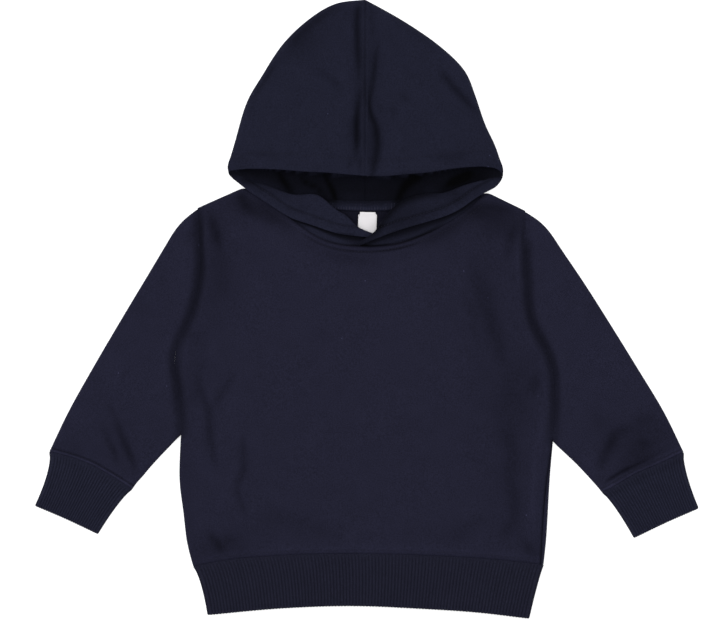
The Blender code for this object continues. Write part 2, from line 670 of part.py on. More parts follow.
def build():
    for old in list(bpy.data.objects):
        bpy.data.objects.remove(old, do_unlink=True)
    fleece = cloth_material("navy_fleece", NAVY, 0.95)
    rib = cloth_material("navy_rib", NAVY_RIB, 0.95)
    white = cloth_material("label_white", WHITE, 0.7)
    body(fleece)
    for side, table in (("left", LEFT_SLEEVE), ("right", RIGHT_SLEEVE)):
        sleeve(side, table, fleece)
        cuff = "cuff_" + side
        tube(cuff, band_place(*CUFFS[cuff], 2 * SEAM_GAP), BAND_STEPS,
             rib_ring(CUFF_RIBS, CUFF_UNDER_STEPS), RIB, rib, CUFF_RIBS)
    tube("waistband", band_place(WAIST_SEAM, WAIST_HEM, WAIST_DRAWN_IN, SEAM_GAP), BAND_STEPS,
         rib_ring(WAIST_RIBS, WAIST_UNDER_STEPS), RIB, rib, WAIST_RIBS)
    hood(fleece)
    label(white)
    stand_on_origin()


build()
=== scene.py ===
# %% [markdown]
# # A toddler's pullover hoodie, laid flat
# The garment is cut from brushed fleece: a front, a back, two sleeves and a hood in two halves. Its cuffs
# and waistband are doubled rib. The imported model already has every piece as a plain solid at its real
# size, and this file dresses it. Each piece becomes a thin shell of cloth on its solid's form, with its
# creases, ribs and stitching, and all of it stays in the solids' own place.
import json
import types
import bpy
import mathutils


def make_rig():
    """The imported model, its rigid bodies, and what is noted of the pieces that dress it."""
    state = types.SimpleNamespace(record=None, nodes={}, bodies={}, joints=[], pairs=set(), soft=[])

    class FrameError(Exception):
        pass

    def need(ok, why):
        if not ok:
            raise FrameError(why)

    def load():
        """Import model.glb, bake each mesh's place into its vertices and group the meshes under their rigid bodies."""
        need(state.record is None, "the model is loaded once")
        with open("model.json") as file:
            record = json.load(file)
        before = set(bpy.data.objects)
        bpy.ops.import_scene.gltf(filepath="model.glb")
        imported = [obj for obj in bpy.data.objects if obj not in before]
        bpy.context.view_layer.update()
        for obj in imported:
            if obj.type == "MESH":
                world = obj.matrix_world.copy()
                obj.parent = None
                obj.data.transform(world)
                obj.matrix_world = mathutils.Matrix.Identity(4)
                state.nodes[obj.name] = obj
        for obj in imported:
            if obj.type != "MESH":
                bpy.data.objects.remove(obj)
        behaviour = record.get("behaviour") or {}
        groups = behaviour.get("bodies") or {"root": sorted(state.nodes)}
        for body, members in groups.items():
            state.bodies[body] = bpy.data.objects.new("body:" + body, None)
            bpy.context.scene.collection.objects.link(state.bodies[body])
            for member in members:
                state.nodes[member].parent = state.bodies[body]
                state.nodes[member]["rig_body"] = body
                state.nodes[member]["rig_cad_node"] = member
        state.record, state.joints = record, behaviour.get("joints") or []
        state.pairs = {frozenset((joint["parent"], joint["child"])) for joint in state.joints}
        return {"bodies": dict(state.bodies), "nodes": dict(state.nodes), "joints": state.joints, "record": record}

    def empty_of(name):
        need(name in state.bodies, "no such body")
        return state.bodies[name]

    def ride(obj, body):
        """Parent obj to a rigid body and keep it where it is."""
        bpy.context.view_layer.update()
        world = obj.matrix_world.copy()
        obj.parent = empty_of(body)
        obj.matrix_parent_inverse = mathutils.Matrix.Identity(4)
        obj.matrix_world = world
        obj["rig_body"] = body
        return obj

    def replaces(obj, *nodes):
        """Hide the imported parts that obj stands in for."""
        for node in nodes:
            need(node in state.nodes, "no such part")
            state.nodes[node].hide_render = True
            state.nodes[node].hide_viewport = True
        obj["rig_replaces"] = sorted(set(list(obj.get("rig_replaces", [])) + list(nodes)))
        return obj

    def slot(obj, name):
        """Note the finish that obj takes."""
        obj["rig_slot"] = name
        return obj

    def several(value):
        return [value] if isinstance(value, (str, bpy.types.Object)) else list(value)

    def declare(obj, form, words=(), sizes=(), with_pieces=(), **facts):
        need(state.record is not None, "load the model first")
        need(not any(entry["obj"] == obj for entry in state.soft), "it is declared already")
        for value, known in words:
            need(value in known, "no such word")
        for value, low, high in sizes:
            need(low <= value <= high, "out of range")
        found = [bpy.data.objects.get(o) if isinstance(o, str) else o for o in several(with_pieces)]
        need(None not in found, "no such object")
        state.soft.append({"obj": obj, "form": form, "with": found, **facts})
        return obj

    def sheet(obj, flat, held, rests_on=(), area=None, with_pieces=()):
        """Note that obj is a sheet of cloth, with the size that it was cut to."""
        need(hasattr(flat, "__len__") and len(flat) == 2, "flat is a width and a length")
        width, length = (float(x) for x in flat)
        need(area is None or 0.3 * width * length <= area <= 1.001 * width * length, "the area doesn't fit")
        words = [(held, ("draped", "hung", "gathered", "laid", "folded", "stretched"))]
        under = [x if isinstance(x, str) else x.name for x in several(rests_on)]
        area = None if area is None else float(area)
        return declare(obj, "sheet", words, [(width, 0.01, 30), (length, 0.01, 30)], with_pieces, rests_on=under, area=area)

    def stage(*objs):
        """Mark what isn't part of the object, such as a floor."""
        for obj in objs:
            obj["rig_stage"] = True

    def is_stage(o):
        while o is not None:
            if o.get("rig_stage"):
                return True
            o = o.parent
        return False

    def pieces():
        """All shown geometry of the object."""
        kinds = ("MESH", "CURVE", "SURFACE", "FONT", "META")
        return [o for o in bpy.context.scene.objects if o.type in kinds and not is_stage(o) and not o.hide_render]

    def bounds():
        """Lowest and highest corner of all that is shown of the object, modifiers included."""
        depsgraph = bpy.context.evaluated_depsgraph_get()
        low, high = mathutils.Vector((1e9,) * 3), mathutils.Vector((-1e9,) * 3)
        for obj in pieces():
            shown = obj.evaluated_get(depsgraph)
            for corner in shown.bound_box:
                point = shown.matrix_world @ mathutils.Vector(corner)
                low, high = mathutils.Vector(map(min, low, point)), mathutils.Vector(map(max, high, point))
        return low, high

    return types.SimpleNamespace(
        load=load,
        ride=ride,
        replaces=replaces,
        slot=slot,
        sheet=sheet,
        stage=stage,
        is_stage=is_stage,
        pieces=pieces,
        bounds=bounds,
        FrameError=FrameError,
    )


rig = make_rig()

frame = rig.load()

import json
import math
from collections import namedtuple

import bpy
import numpy as np
from mathutils import Vector

cad_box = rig.bounds()
print("frame:", len(frame["nodes"]), "nodes,", [round(1000 * (b - a)) for a, b in zip(*cad_box)], "mm")

# %% [markdown]
# ## Sizes
# A dressmaker draws a garment flat, in millimetres, from its centre line and its hem. The tables below do
# the same: x runs from the centre seam to the right, y up from the waistband's lower edge, and z is the
# height above the table. `ORIGIN` is where that corner of the drawing lies in the model's own frame.

# %% Sizes of the cloth
MM = 0.001
ORIGIN = np.array((-1.61, -276.12, 0.02))
SIDES = {"left": -1.0, "right": 1.0}        # the way outwards along x
SEAM_GAP = 0.06         # between two pieces that are sewn together
CLOTH = 1.7             # thickness of the shell that stands for one layer of fleece
FLEECE = 2.0            # thickness of the layer in the solids
RIB = 2.8               # thickness of the doubled rib
ROLL = 3.0              # width of the soft roll where a flattened tube turns over
FRONT_TOP = 4.6         # height of the middle of a tube's upper layer
TUBE_MIDDLE, ROLL_HEIGHT = (FRONT_TOP + FLEECE / 2) / 2, (FRONT_TOP - FLEECE / 2) / 2
SEAM_TURN = 5.0         # degrees round a roll from its middle to a piece's edge
UNDERARM_GAP = -0.3     # a sleeve's end reaches this far past its seam, over the lowest share of the armhole
UNDERARM_SHARE = 0.15
NECK_SIDE_GAP = 0.6     # room between hood and neckline at the side of the neck, and how far in it reaches
NECK_SIDE_REACH = 45.0
CENTRE_LAP = 0.15       # the hood's halves press into each other this far at the centre seam
CROWN_ROLL = 8.0        # width of the roll along the hood's outline
LAPEL_ROLL = 2.0        # width of the roll where the hood's lower edge turns over
ROLL_SHARE = 0.6        # a roll takes at most this share of its layer's width
ROLL_RADIUS = 1.11      # and no more than its height squared over this
DRAWN_IN_HIGH = 0.7     # bands are drawn in most somewhat nearer to the seam than to the hem

# %% [markdown]
# ## Tables of the cut
# One row stands for one section across a piece, so a piece is as detailed as its table is long, and each
# number is a place that a tape measure could check.

# %% Tables
# the body from the waistband seam up the side and the armhole to the shoulder: x and y of its left and its
# right edge, 1 where front and back end at an armhole and 0 where one turns over into the other, and how
# far the right side seam lies on the front
BODY_SECTIONS = (
    (-154.9, 44.8, 161, 46, 0, 3),
    (-160.6, 66, 163.5, 68, 0, 4.5),
    (-163.3, 90, 164.8, 90, 0, 4.5),
    (-167.5, 125, 166.7, 125, 0, 3),
    (-166.8, 146, 168, 143, 0, 1.5),
    (-165.2, 163.5, 168.6, 158, 1, 0),
    (-168, 202, 171, 197, 1, 0),
    (-171, 236, 167.5, 230, 1, 0),
    (-156, 273, 150.5, 266, 1, 0),
    (-148.5, 311, 146, 305, 1, 0),
    (-149, 342, 145, 339, 1, 0),
    (-150.5, 366.5, 144, 364, 1, 0),
)
WAIST_SEAM = ((-154.9, 44.8), (-120, 50.8), (-80, 54.2), (0, 55.8), (80, 53.2), (120, 50.4), (161, 46))
WAIST_HEM = ((-141.8, 0.8), (-70, 7), (-10, 8.8), (50, 6.3), (100, 3), (147.8, -2.6))
WAIST_DRAWN_IN = (2.3, 0.8)     # how far each side of the band curves inwards
FRONT_NECK = (
    (-109, 385), (-89, 373), (-67.5, 357.8), (-50, 346), (-31, 337), (-3, 333), (31.5, 337), (58.5, 345.8),
    (85.5, 361), (110, 380.5),
)
BACK_NECK = ((-109, 385), (-60, 372), (0, 367), (60, 371), (110, 380.5))
SHOULDER_SHARE = (0.13, 0.87)   # where the neckline lies along the body's upper edge
SIDE_SEAM = ((158, 46), (158.8, 68), (160.1, 90), (163.7, 125), (166.3, 143), (168.6, 158))

# sleeves, from the armhole to the cuff seam: x and y of outer edge (shoulder side) and inner edge (underarm)
SLEEVES = {
    "left": (
        (-165.5, 355, -169.5, 159.2),
        (-180.5, 331.5, -177, 151.3),
        (-198, 302.5, -186, 141.7),
        (-221.8, 263, -194, 132.7),
        (-246.5, 221, -200.5, 124.8),
        (-267.2, 184, -205.5, 119.2),
    ),
    "right": (
        (159, 354.5, 173.4, 152.7),
        (176.3, 330.3, 180.9, 145.6),
        (195.6, 302.1, 190, 136.8),
        (219.6, 264.6, 198.5, 127.8),
        (244.8, 224.1, 205.3, 120.2),
        (270.2, 182.1, 209.6, 115.4),
    ),
}
# cuffs: seam, hem, and how far each side curves inwards
CUFFS = {
    "left": (
        ((-284.3, 148.2), (-269.8, 144.3), (-248.4, 136.9), (-227.1, 125.1), (-209.2, 114)),
        ((-297.3, 99.2), (-272, 88.4), (-240.3, 73.6)),
        (3.4, 2.1),
    ),
    "right": (
        ((287, 147.6), (265.8, 137.5), (243.3, 127.7), (224.6, 117), (213, 111.2)),
        ((300.5, 96.8), (272.5, 84.6), (242, 70)),
        (2.6, 2),
    ),
}
WAIST_RIBS = 103
CUFF_RIBS = 28

# the hood's lower edge on each side, from centre front to the corner of the face opening: face edge, the
# line where it rolls over, the place on the neckline below it, and heights of edge, upper and lower layer
LapelSection = namedtuple("LapelSection", "edge_x edge_y roll_x roll_y neck_x neck_z edge_z upper lower")
LAPELS = {
    "left": (
        (4, 340.8, 8, 343.2, 3, 4.3, 6.8, 6.8, 4.2),
        (-12, 342.4, -7, 349.5, -11.5, 4.5, 6.9, 7, 4.3),
        (-27, 344.8, -16, 358.8, -30.5, 4.5, 7, 7.2, 4.3),
        (-50.5, 352.8, -27.5, 366, -50.5, 4.5, 7, 7.3, 4.3),
        (-67.5, 358.6, -43.5, 378.6, -67.5, 4.5, 6.8, 7.2, 4.2),
        (-89, 372.2, -65, 378.4, -87, 4.5, 7, 7, 4.1),
        (-104.5, 382.3, -88, 386.6, -97, 4.3, 6.8, 6.8, 3.9),
        (-115.5, 391, -106.5, 391, -102.5, 4, 6.2, 6.4, 3.7),
    ),
    "right": (
        (-3.2, 334.2, -4.2, 336, -5, 9.4, 12.2, 12.2, 9.5),
        (10, 339.8, 9, 345.2, 8, 8.4, 11.6, 11.9, 9.3),
        (29, 346.8, 16, 355.5, 28, 4.9, 8.6, 8.8, 5.8),
        (52, 353.6, 31.5, 372, 51.5, 4.5, 7, 7.3, 4.4),
        (72, 359.8, 52.5, 379, 73, 4.5, 7, 7.3, 4.3),
        (86, 366.4, 71, 380, 85.5, 4.5, 7, 7.2, 4.2),
        (101.5, 377.3, 89.5, 387, 97.5, 4.3, 6.8, 6.8, 3.9),
        (119, 386.5, 107.5, 392, 103, 4, 6.2, 6.4, 3.7),
    ),
}
# where the hood's lower edge meets the part above the face opening: (x, y, z) of the face opening's
# corner, of the pull that bends the curve between them, and of the side of the neck
CORNERS = {"left": ((-126, 399.5, 4), (-107, 400.5, 3.2), (-104, 389, 3.7)),
           "right": ((126.5, 397.5, 4), (108.5, 398.5, 3.2), (105, 386.5, 3.7))}
# the hood above the face opening, from the corner to the centre seam: face edge, the outline where the
# upper layer turns over to the lower, the place on the back neckline, heights of edge and both layers
BrimSection = namedtuple("BrimSection", "edge_x edge_y outline_x outline_y neck_x edge_z upper lower")
BRIMS = {
    "left": (
        (-116, 401.7, -121, 413, -94, 6, 6, 2.2),
        (-105.5, 402.5, -116.3, 429, -88, 9, 8, 1.3),
        (-91, 402.4, -106.3, 462.5, -76, 11.5, 9.5, 1),
        (-73, 401.4, -92.7, 486, -61, 13, 10.5, 1),
        (-54, 399.8, -74.4, 514.3, -45, 14, 11, 1),
        (-35, 399, -51.8, 536.3, -29, 14.6, 11.3, 1),
        (-17, 397.4, -27, 551.3, -14, 15, 11.5, 1),
        (0, 396, 0, 555, 0, 15, 11.6, 1),
    ),
    "right": (
        (118, 403, 121.5, 410.5, 95, 6, 6, 2.2),
        (107, 404.5, 116.5, 425, 88, 9, 8, 1.3),
        (92.5, 404, 107.2, 444.5, 76, 11.5, 9.5, 1),
        (74.5, 402, 98.6, 470, 61, 13, 10.5, 1),
        (56, 399, 88.7, 492.5, 45, 14, 11, 1),
        (36, 397.4, 65.3, 514.8, 29, 14.6, 11.3, 1),
        (18, 395.8, 33.6, 536.3, 14, 15, 11.5, 1),
        (0, 396, 0, 555, 0, 15, 11.6, 1),
    ),
}

UNDERARM_ROW = 5        # row of BODY_SECTIONS where the armhole starts
ARMHOLE_STEPS = 27      # steps along an armhole
SIDE_STEPS = 10         # along the side below it
SLEEVE_STEPS = 25       # from armhole to cuff
SLEEVE_ACROSS = 24      # across one layer of a sleeve
NECK_STEPS = 26         # along the front and back neckline
LAPEL_STEPS = 25        # sections of the hood's lower edge
BRIM_STEPS = 26         # sections of the hood above the face opening
LAYER_STEPS = 8         # across one layer of the hood, before its roll
BAND_STEPS = 10         # from a band's seam to its hem
CLOSER_TO_CUFF, CLOSER_TO_NECK = 1.4, 1.5       # powers that crowd the rows towards both
FINE = 2                # times that every face is halved afterwards

# %% [markdown]
# ## Curves through a table
# A seam is a smooth line through a few measured points. A cubic Hermite curve goes exactly through them
# and needs no handles to be set, so a row of the table can be changed without touching the others. The
# functions work on whole arrays of places at once, which keeps fine meshes quick to make.

# %% Smooth curves and patches
def lengths_along(points):
    """How far each point of a line is from its first, along it."""
    return np.concatenate(([0.0], np.cumsum(np.linalg.norm(np.diff(points, axis=0), axis=1))))


def smooth(knots, rows):
    """A smooth function through `rows`, which stand at `knots`."""
    knots, rows = np.asarray(knots, float), np.asarray(rows, float)
    slopes = np.gradient(rows, knots, axis=0)

    def at(where):
        where = np.clip(where, knots[0], knots[-1])
        i = np.clip(np.searchsorted(knots, where, side="right") - 1, 0, len(knots) - 2)
        step = np.asarray(knots[i + 1] - knots[i])[..., None]
        t = np.asarray(where - knots[i])[..., None] / step
        ahead = t * t * (3 - 2 * t)
        return ((1 - ahead) * rows[i] + ahead * rows[i + 1]
                + t * (1 - t) ** 2 * step * slopes[i] + t * t * (t - 1) * step * slopes[i + 1])

    return at


def curve(points):
    """A smooth curve through plan points, by the share of its length from 0 to 1."""
    points = np.asarray(points, float)
    knots = lengths_along(points)
    return smooth(knots / knots[-1], points)


def drawn(points, count=60):
    """The same curve as a line of `count` points."""
    return curve(points)(np.linspace(0, 1, count))


def patch(near, far, left, right):
    """A plan position (u across, v along) inside four edge curves that meet at their ends."""
    corners = near(0.0), near(1.0), far(0.0), far(1.0)

    def place(u, v):
        straight = ((1 - u) * (1 - v) * corners[0] + u * (1 - v) * corners[1]
                    + (1 - u) * v * corners[2] + u * v * corners[3])
        return (1 - v) * near(u) + v * far(u) + (1 - u) * left(v) + u * right(v) - straight

    return place


def ease(low, high, value):
    """0 below `low`, 1 above `high` and a soft step between."""
    t = np.clip((value - low) / (high - low), 0, 1)
    return t * t * (3 - 2 * t)


# %% [markdown]
# ## From rows of points to a sheet of cloth
# Cloth is a surface with almost no thickness, so each piece starts as a sheet of four-sided faces in the
# middle of its wall. Subdivision rounds it, creases are pressed into it, and only then does a Solidify
# modifier give it two faces. Pressing first is what keeps the wall even over every crease.

# %% Sheets
def new_object(name, points, faces=(), edges=()):
    """An object at the origin with its place in its mesh; `points` are in the garment's millimetres."""
    mesh = bpy.data.meshes.new(name)
    mesh.from_pydata(((np.asarray(points, float) + ORIGIN) * MM).tolist(), list(edges), list(faces))
    mesh.shade_smooth()
    made = bpy.data.objects.new(name, mesh)
    bpy.context.scene.collection.objects.link(made)
    return made


def sheet(name, *grids, closed=False):
    """Faces between the rows of points of each grid. Points that coincide are shared, so rows can meet in
    a tip. Where `closed`, each row is a loop."""
    points, places, faces = [], {}, []
    for rows in grids:
        for row in rows:
            for point in row:
                key = tuple(round(float(c), 3) for c in point)
                if key not in places:
                    places[key] = len(points)
                    points.append(key)
        indices = [[places[tuple(round(float(c), 3) for c in point)] for point in row] for row in rows]
        for row, following in zip(indices, indices[1:]):
            for i in range(len(row) if closed else len(row) - 1):
                j = (i + 1) % len(row)
                corners = (row[i], row[j], following[j], following[i])
                face = [c for k, c in enumerate(corners) if c != corners[k - 1]]
                if len(face) > 2:
                    faces.append(face)
    return new_object(name, points, faces)


def vectors_of(obj, attribute):
    """The mesh's points or their normals, one row each."""
    found = np.empty(len(obj.data.vertices) * 3, np.float32)
    obj.data.vertices.foreach_get(attribute, found)
    return found.reshape(-1, 3).astype(float)


def garment_points(obj):
    """The mesh's points in the garment's millimetres."""
    return vectors_of(obj, "co") / MM - ORIGIN


def facing_up(obj):
    """0 where a piece's surface looks down at the table, 1 where it looks up."""
    return ease(-0.3, 0.3, vectors_of(obj, "normal")[:, 2])


def raise_points(obj, heights):
    """Raises the mesh's points by `heights` mm."""
    points = garment_points(obj)
    points[:, 2] += heights
    obj.data.vertices.foreach_set("co", ((points + ORIGIN) * MM).astype(np.float32).ravel())
    obj.data.update()


def settle(obj):
    """Turns the object's modifiers into plain mesh."""
    shown = obj.evaluated_get(bpy.context.evaluated_depsgraph_get())
    obj.data = bpy.data.meshes.new_from_object(shown)
    obj.modifiers.clear()
    return obj


def refine(obj):
    finer = obj.modifiers.new("finer", "SUBSURF")
    finer.levels = finer.render_levels = FINE
    finer.boundary_smooth = "PRESERVE_CORNERS"
    return settle(obj)


def thicken(obj, thickness=CLOTH):
    """Gives a sheet its two faces, with a rounded edge all round."""
    wall = obj.modifiers.new("wall", "SOLIDIFY")
    wall.thickness, wall.offset, wall.use_even_offset = thickness * MM, 0.0, False
    rim = obj.modifiers.new("rim", "BEVEL")
    rim.width, rim.segments, rim.limit_method = 0.3 * thickness * MM, 2, "ANGLE"
    rim.angle_limit, rim.use_clamp_overlap = math.radians(60), True
    settle(obj).data.shade_smooth()
    return obj


def keep_values(obj, name, values):
    """Stores one number for each point, for a material or a node group to read."""
    attribute = obj.data.attributes.new(name, "FLOAT", "POINT")
    attribute.data.foreach_set("value", np.asarray(values, np.float32))


def wear(obj, material):
    obj.data.materials.clear()
    obj.data.materials.append(material)


# %% [markdown]
# ## Folds
# A fold in soft fleece wanders, widens and fades, so a straight stroke isn't enough to draw it. Each fold
# here is a short table: the places that it passes, how wide it is at each of them and how high. Minus
# makes a trough and plus a ridge, and it starts and ends at nothing. All of it is set unevenly, because
# even spacing would look pressed by a machine. Light hardly reaches the bottom of a trough in dark
# fleece, so the same tables also give each point a painted shade for the material to read: the share of
# its colour that the missing light takes away, painted into the colour, and below 0 a painted highlight
# where a raised fold is lighter.

# %% Folds: lines in the plan with a width and a height
# painted shade: the share of colour taken out at a trough's bottom for each mm of its depth, and the limits of it;
# below 0 it is a painted highlight
SHADE_PER_MM = 0.24     # how much darker a trough's bottom looks for each millimetre of its depth
CROWN_SHADE_PER_MM = 0.23
LIGHTEST, DARKEST = -0.6, 0.97
SOFT_SHOULDER = 0.3     # how much the cloth beside a fold gives way to it
LAYER_ABOVE = (1.5, 4.2)        # heights between which a tube's upper layer begins
LAYER_BELOW = (2.6, 1.4)        # and its lower one


def along_line(x, y, line):
    """(share along, signed distance) of many places from a line of points; left of it is positive."""
    line = np.asarray(line)
    lengths = lengths_along(line)
    nearest, share, sign = np.full(x.shape, 1e9), np.zeros(x.shape), np.ones(x.shape)
    for i, (a, b) in enumerate(zip(line, line[1:])):
        run = b - a
        t = np.clip(((x - a[0]) * run[0] + (y - a[1]) * run[1]) / (run @ run), 0, 1)
        off_x, off_y = x - a[0] - t * run[0], y - a[1] - t * run[1]
        away = np.hypot(off_x, off_y)
        closer = away < nearest
        nearest = np.where(closer, away, nearest)
        share = np.where(closer, (lengths[i] + t * (lengths[i + 1] - lengths[i])) / lengths[-1], share)
        sign = np.where(closer, np.sign(run[0] * off_y - run[1] * off_x), sign)
    return share, nearest * np.where(sign == 0, 1, sign)


def from_line(x, y, line):
    return along_line(x, y, line)[1]


def fold_heights(x, y, folds, shoulder=SOFT_SHOULDER):
    """Height that a table of folds gives to each place."""
    height = np.zeros(x.shape)
    for fold in folds:
        rows = np.asarray(fold, float)
        knots = lengths_along(rows[:, 0:2])
        line = drawn(rows[:, 0:2], 6 * len(rows))
        reach = 1.3 * rows[:, 2].max()
        near = np.flatnonzero((x > line[:, 0].min() - reach) & (x < line[:, 0].max() + reach)
                              & (y > line[:, 1].min() - reach) & (y < line[:, 1].max() + reach))
        share, away = along_line(x[near], y[near], line)
        width = np.interp(share, knots / knots[-1], rows[:, 2])
        s = (2 * away / width) ** 2
        height[near] += np.interp(share, knots / knots[-1], rows[:, 3]) * (1 - shoulder * s) * np.exp(-s)
    return height


def spread(x, y, rows):
    """The same with nothing given way beside it, as for a table whose last column is a share of darkness."""
    return fold_heights(x, y, rows, 0.0)


def stripe(away, offset, width):
    """1 on a line beside a seam and nothing further off, for signed distances from the seam."""
    return np.exp(-(2 * (away - offset) / width) ** 2)


WAVES = ((0.081, 0.034, 0.3, 0.9), (-0.046, 0.072, 1.9, 1.0), (0.122, -0.058, 4.1, 0.5),
         (0.021, 0.141, 2.6, 0.45), (0.171, 0.083, 5.2, 0.3), (-0.118, 0.158, 0.8, 0.28))


def slack(x, y, height):
    """The slight waves of cloth that isn't stretched."""
    return height * sum(a * np.sin(across * x + along * y + start) for across, along, start, a in WAVES)


def press(obj, layer_from, folds, beside=(), waves=0.14):
    """Presses folds into the layer that begins between the two heights of `layer_from`. Each of `beside`
    is (line, offset, width, height): a ridge or dip that runs beside a seam."""
    x, y, z = garment_points(obj).T
    change = fold_heights(x, y, folds) + slack(x, y, waves)
    for line, offset, width, height in beside:
        change += height * stripe(from_line(x, y, line), offset, width)
    raise_points(obj, ease(*layer_from, z) * change)


def press_below(obj, folds):
    """Lifts the layer that lies on the table."""
    x, y, z = garment_points(obj).T
    raise_points(obj, ease(*LAYER_BELOW, z) * spread(x, y, folds))


# stores the painted shade of each point for the material, and below 0 its painted highlight
def keep_painted_shade(obj, amounts):
    keep_values(obj, "hollow", np.clip(amounts, LIGHTEST, DARKEST))

# %% [markdown]
# ## Body, sleeves and bands: tubes pressed flat
# A sleeve lying on a table is a tube with an upper and a lower layer and a soft roll at each side where
# one turns into the other. One function turns a distance round such a tube into a place across it and a
# lift, and every piece of the garment that goes round something is made with it.

# %% Flat tubes
TURNS = np.linspace(0, math.pi / 2, 33)
ROLL_LENGTHS = lengths_along(np.column_stack((-ROLL * np.cos(TURNS), ROLL_HEIGHT * np.sin(TURNS))))
ROLL_LENGTH = ROLL_LENGTHS[-1]


def half_girth(width):
    """Length of a flat tube's upper layer, from the turn at one side to the turn at the other."""
    return width + 2 * (ROLL_LENGTH - ROLL)


def on_tube(along, width):
    """(share across, lift) `along` mm round a flat tube: 0 to its half girth is the upper layer, and
    before 0 or past it the underside. Lift is 1 on top and -1 below."""
    edge = np.minimum(along, half_girth(width) - along)
    turn = np.interp(abs(edge), ROLL_LENGTHS, TURNS)
    inset = ROLL * (1 - np.cos(turn)) + np.maximum(abs(edge) - ROLL_LENGTH, 0.0)
    near_side = along < half_girth(width) / 2
    return np.where(near_side, inset / width, 1 - inset / width), np.copysign(np.sin(turn), edge)


def flat_size(left, right, wall):
    """Of a tube of thick cloth pressed flat from `left` to `right`: its width between the middles of the
    wall, the share of the whole that the wall takes at each side, and the upper layer's length."""
    width = np.linalg.norm(right - left) - wall
    return width, wall / 2 / (width + wall), half_girth(width)


def beneath(along, width):
    """The place on the underside that lies below a place of the upper layer."""
    girth = half_girth(width)
    return -along if along < girth / 2 else 2 * girth - along


def tube_sheet(name, place, wall):
    """A sleeve's tube, with the same number of places on top and below. Its rows lie closer together
    towards the cuff, where the seam's small ridges run."""
    rows = []
    roll = [ROLL_LENGTH * k / 4 for k in (1, 2, 3)]
    for v in 1 - (1 - np.linspace(0, 1, SLEEVE_STEPS + 1)) ** CLOSER_TO_CUFF:
        width, inset, girth = flat_size(place(0.0, v), place(1.0, v), wall)
        top = [*roll, *np.linspace(ROLL_LENGTH, girth - ROLL_LENGTH, SLEEVE_ACROSS + 1),
               *(girth - r for r in roll[::-1])]
        row = []
        for along in (0.0, *top, girth, *(beneath(a, width) for a in top[::-1])):
            share, lift = on_tube(along, width)
            row.append((*place(inset + share * (1 - 2 * inset), v), TUBE_MIDDLE + lift * ROLL_HEIGHT))
        rows.append(row)
    right, down = place(1.0, 0.0) - place(0.0, 0.0), place(0.0, 1.0) - place(0.0, 0.0)
    faces_up = right[0] * down[1] - right[1] * down[0] > 0
    return sheet(name, rows if faces_up else [row[::-1] for row in rows], closed=True)


BODY = np.array(BODY_SECTIONS)
BODY_KNOTS = lengths_along((BODY[:, 0:2] + BODY[:, 2:4]) / 2)
BODY_KNOTS /= BODY_KNOTS[-1]
UNDERARM = BODY_KNOTS[UNDERARM_ROW]
# the body's left and right edge, from 0 at the waistband seam to 1 at the shoulder
BODY_EDGES = {"left": smooth(BODY_KNOTS, BODY[:, 0:2]), "right": smooth(BODY_KNOTS, BODY[:, 2:4])}


def armhole(side, share):
    """The armhole seam in plan, from 0 at the shoulder to 1 at the underarm."""
    return BODY_EDGES[side](1 - share * (1 - UNDERARM))


def sleeve_place(side):
    def top(share):
        gap = SEAM_GAP + UNDERARM_GAP * max(0.0, 1 - (1 - share) / UNDERARM_SHARE)
        return armhole(side, share) + (SIDES[side] * gap, 0.0)

    cuff_seam, table = CUFFS[side][0], np.array(SLEEVES[side])
    return patch(top, curve(cuff_seam), curve([top(0.0), *table[:, 0:2], cuff_seam[0]]),
                 curve([top(1.0), *table[:, 2:4], cuff_seam[-1]]))


def band_place(seam, hem, drawn_in, gap):
    """A band's plan place between its seam, moved a gap into the band, and its hem."""
    near, far = curve(seam), curve(hem)
    length = np.linalg.norm(far(0.5) - near(0.5))
    across = (near(1.0) - near(0.0)) / np.linalg.norm(near(1.0) - near(0.0))

    def place(u, v):
        share = (gap + v * (length - gap)) / length
        bow = 4 * share ** DRAWN_IN_HIGH * (1 - share ** DRAWN_IN_HIGH)
        inwards = bow * (drawn_in[0] * (1 - np.asarray(u)) - drawn_in[1] * np.asarray(u))
        return near(u) + (far(u) - near(u)) * share + inwards[..., None] * across

    return place


def upper_edge(neckline):
    """The body's upper edge from armhole to armhole: shoulder, neckline, shoulder."""
    neck = curve(neckline)
    left_corner, right_corner = BODY[-1, 0:2], BODY[-1, 2:4]
    first, last = SHOULDER_SHARE

    def edge(share):
        if share <= first:
            return left_corner + (neck(0.0) - left_corner) * share / first
        if share >= last:
            return neck(1.0) + (right_corner - neck(1.0)) * (share - last) / (1 - last)
        return neck((share - first) / (last - first))

    return edge


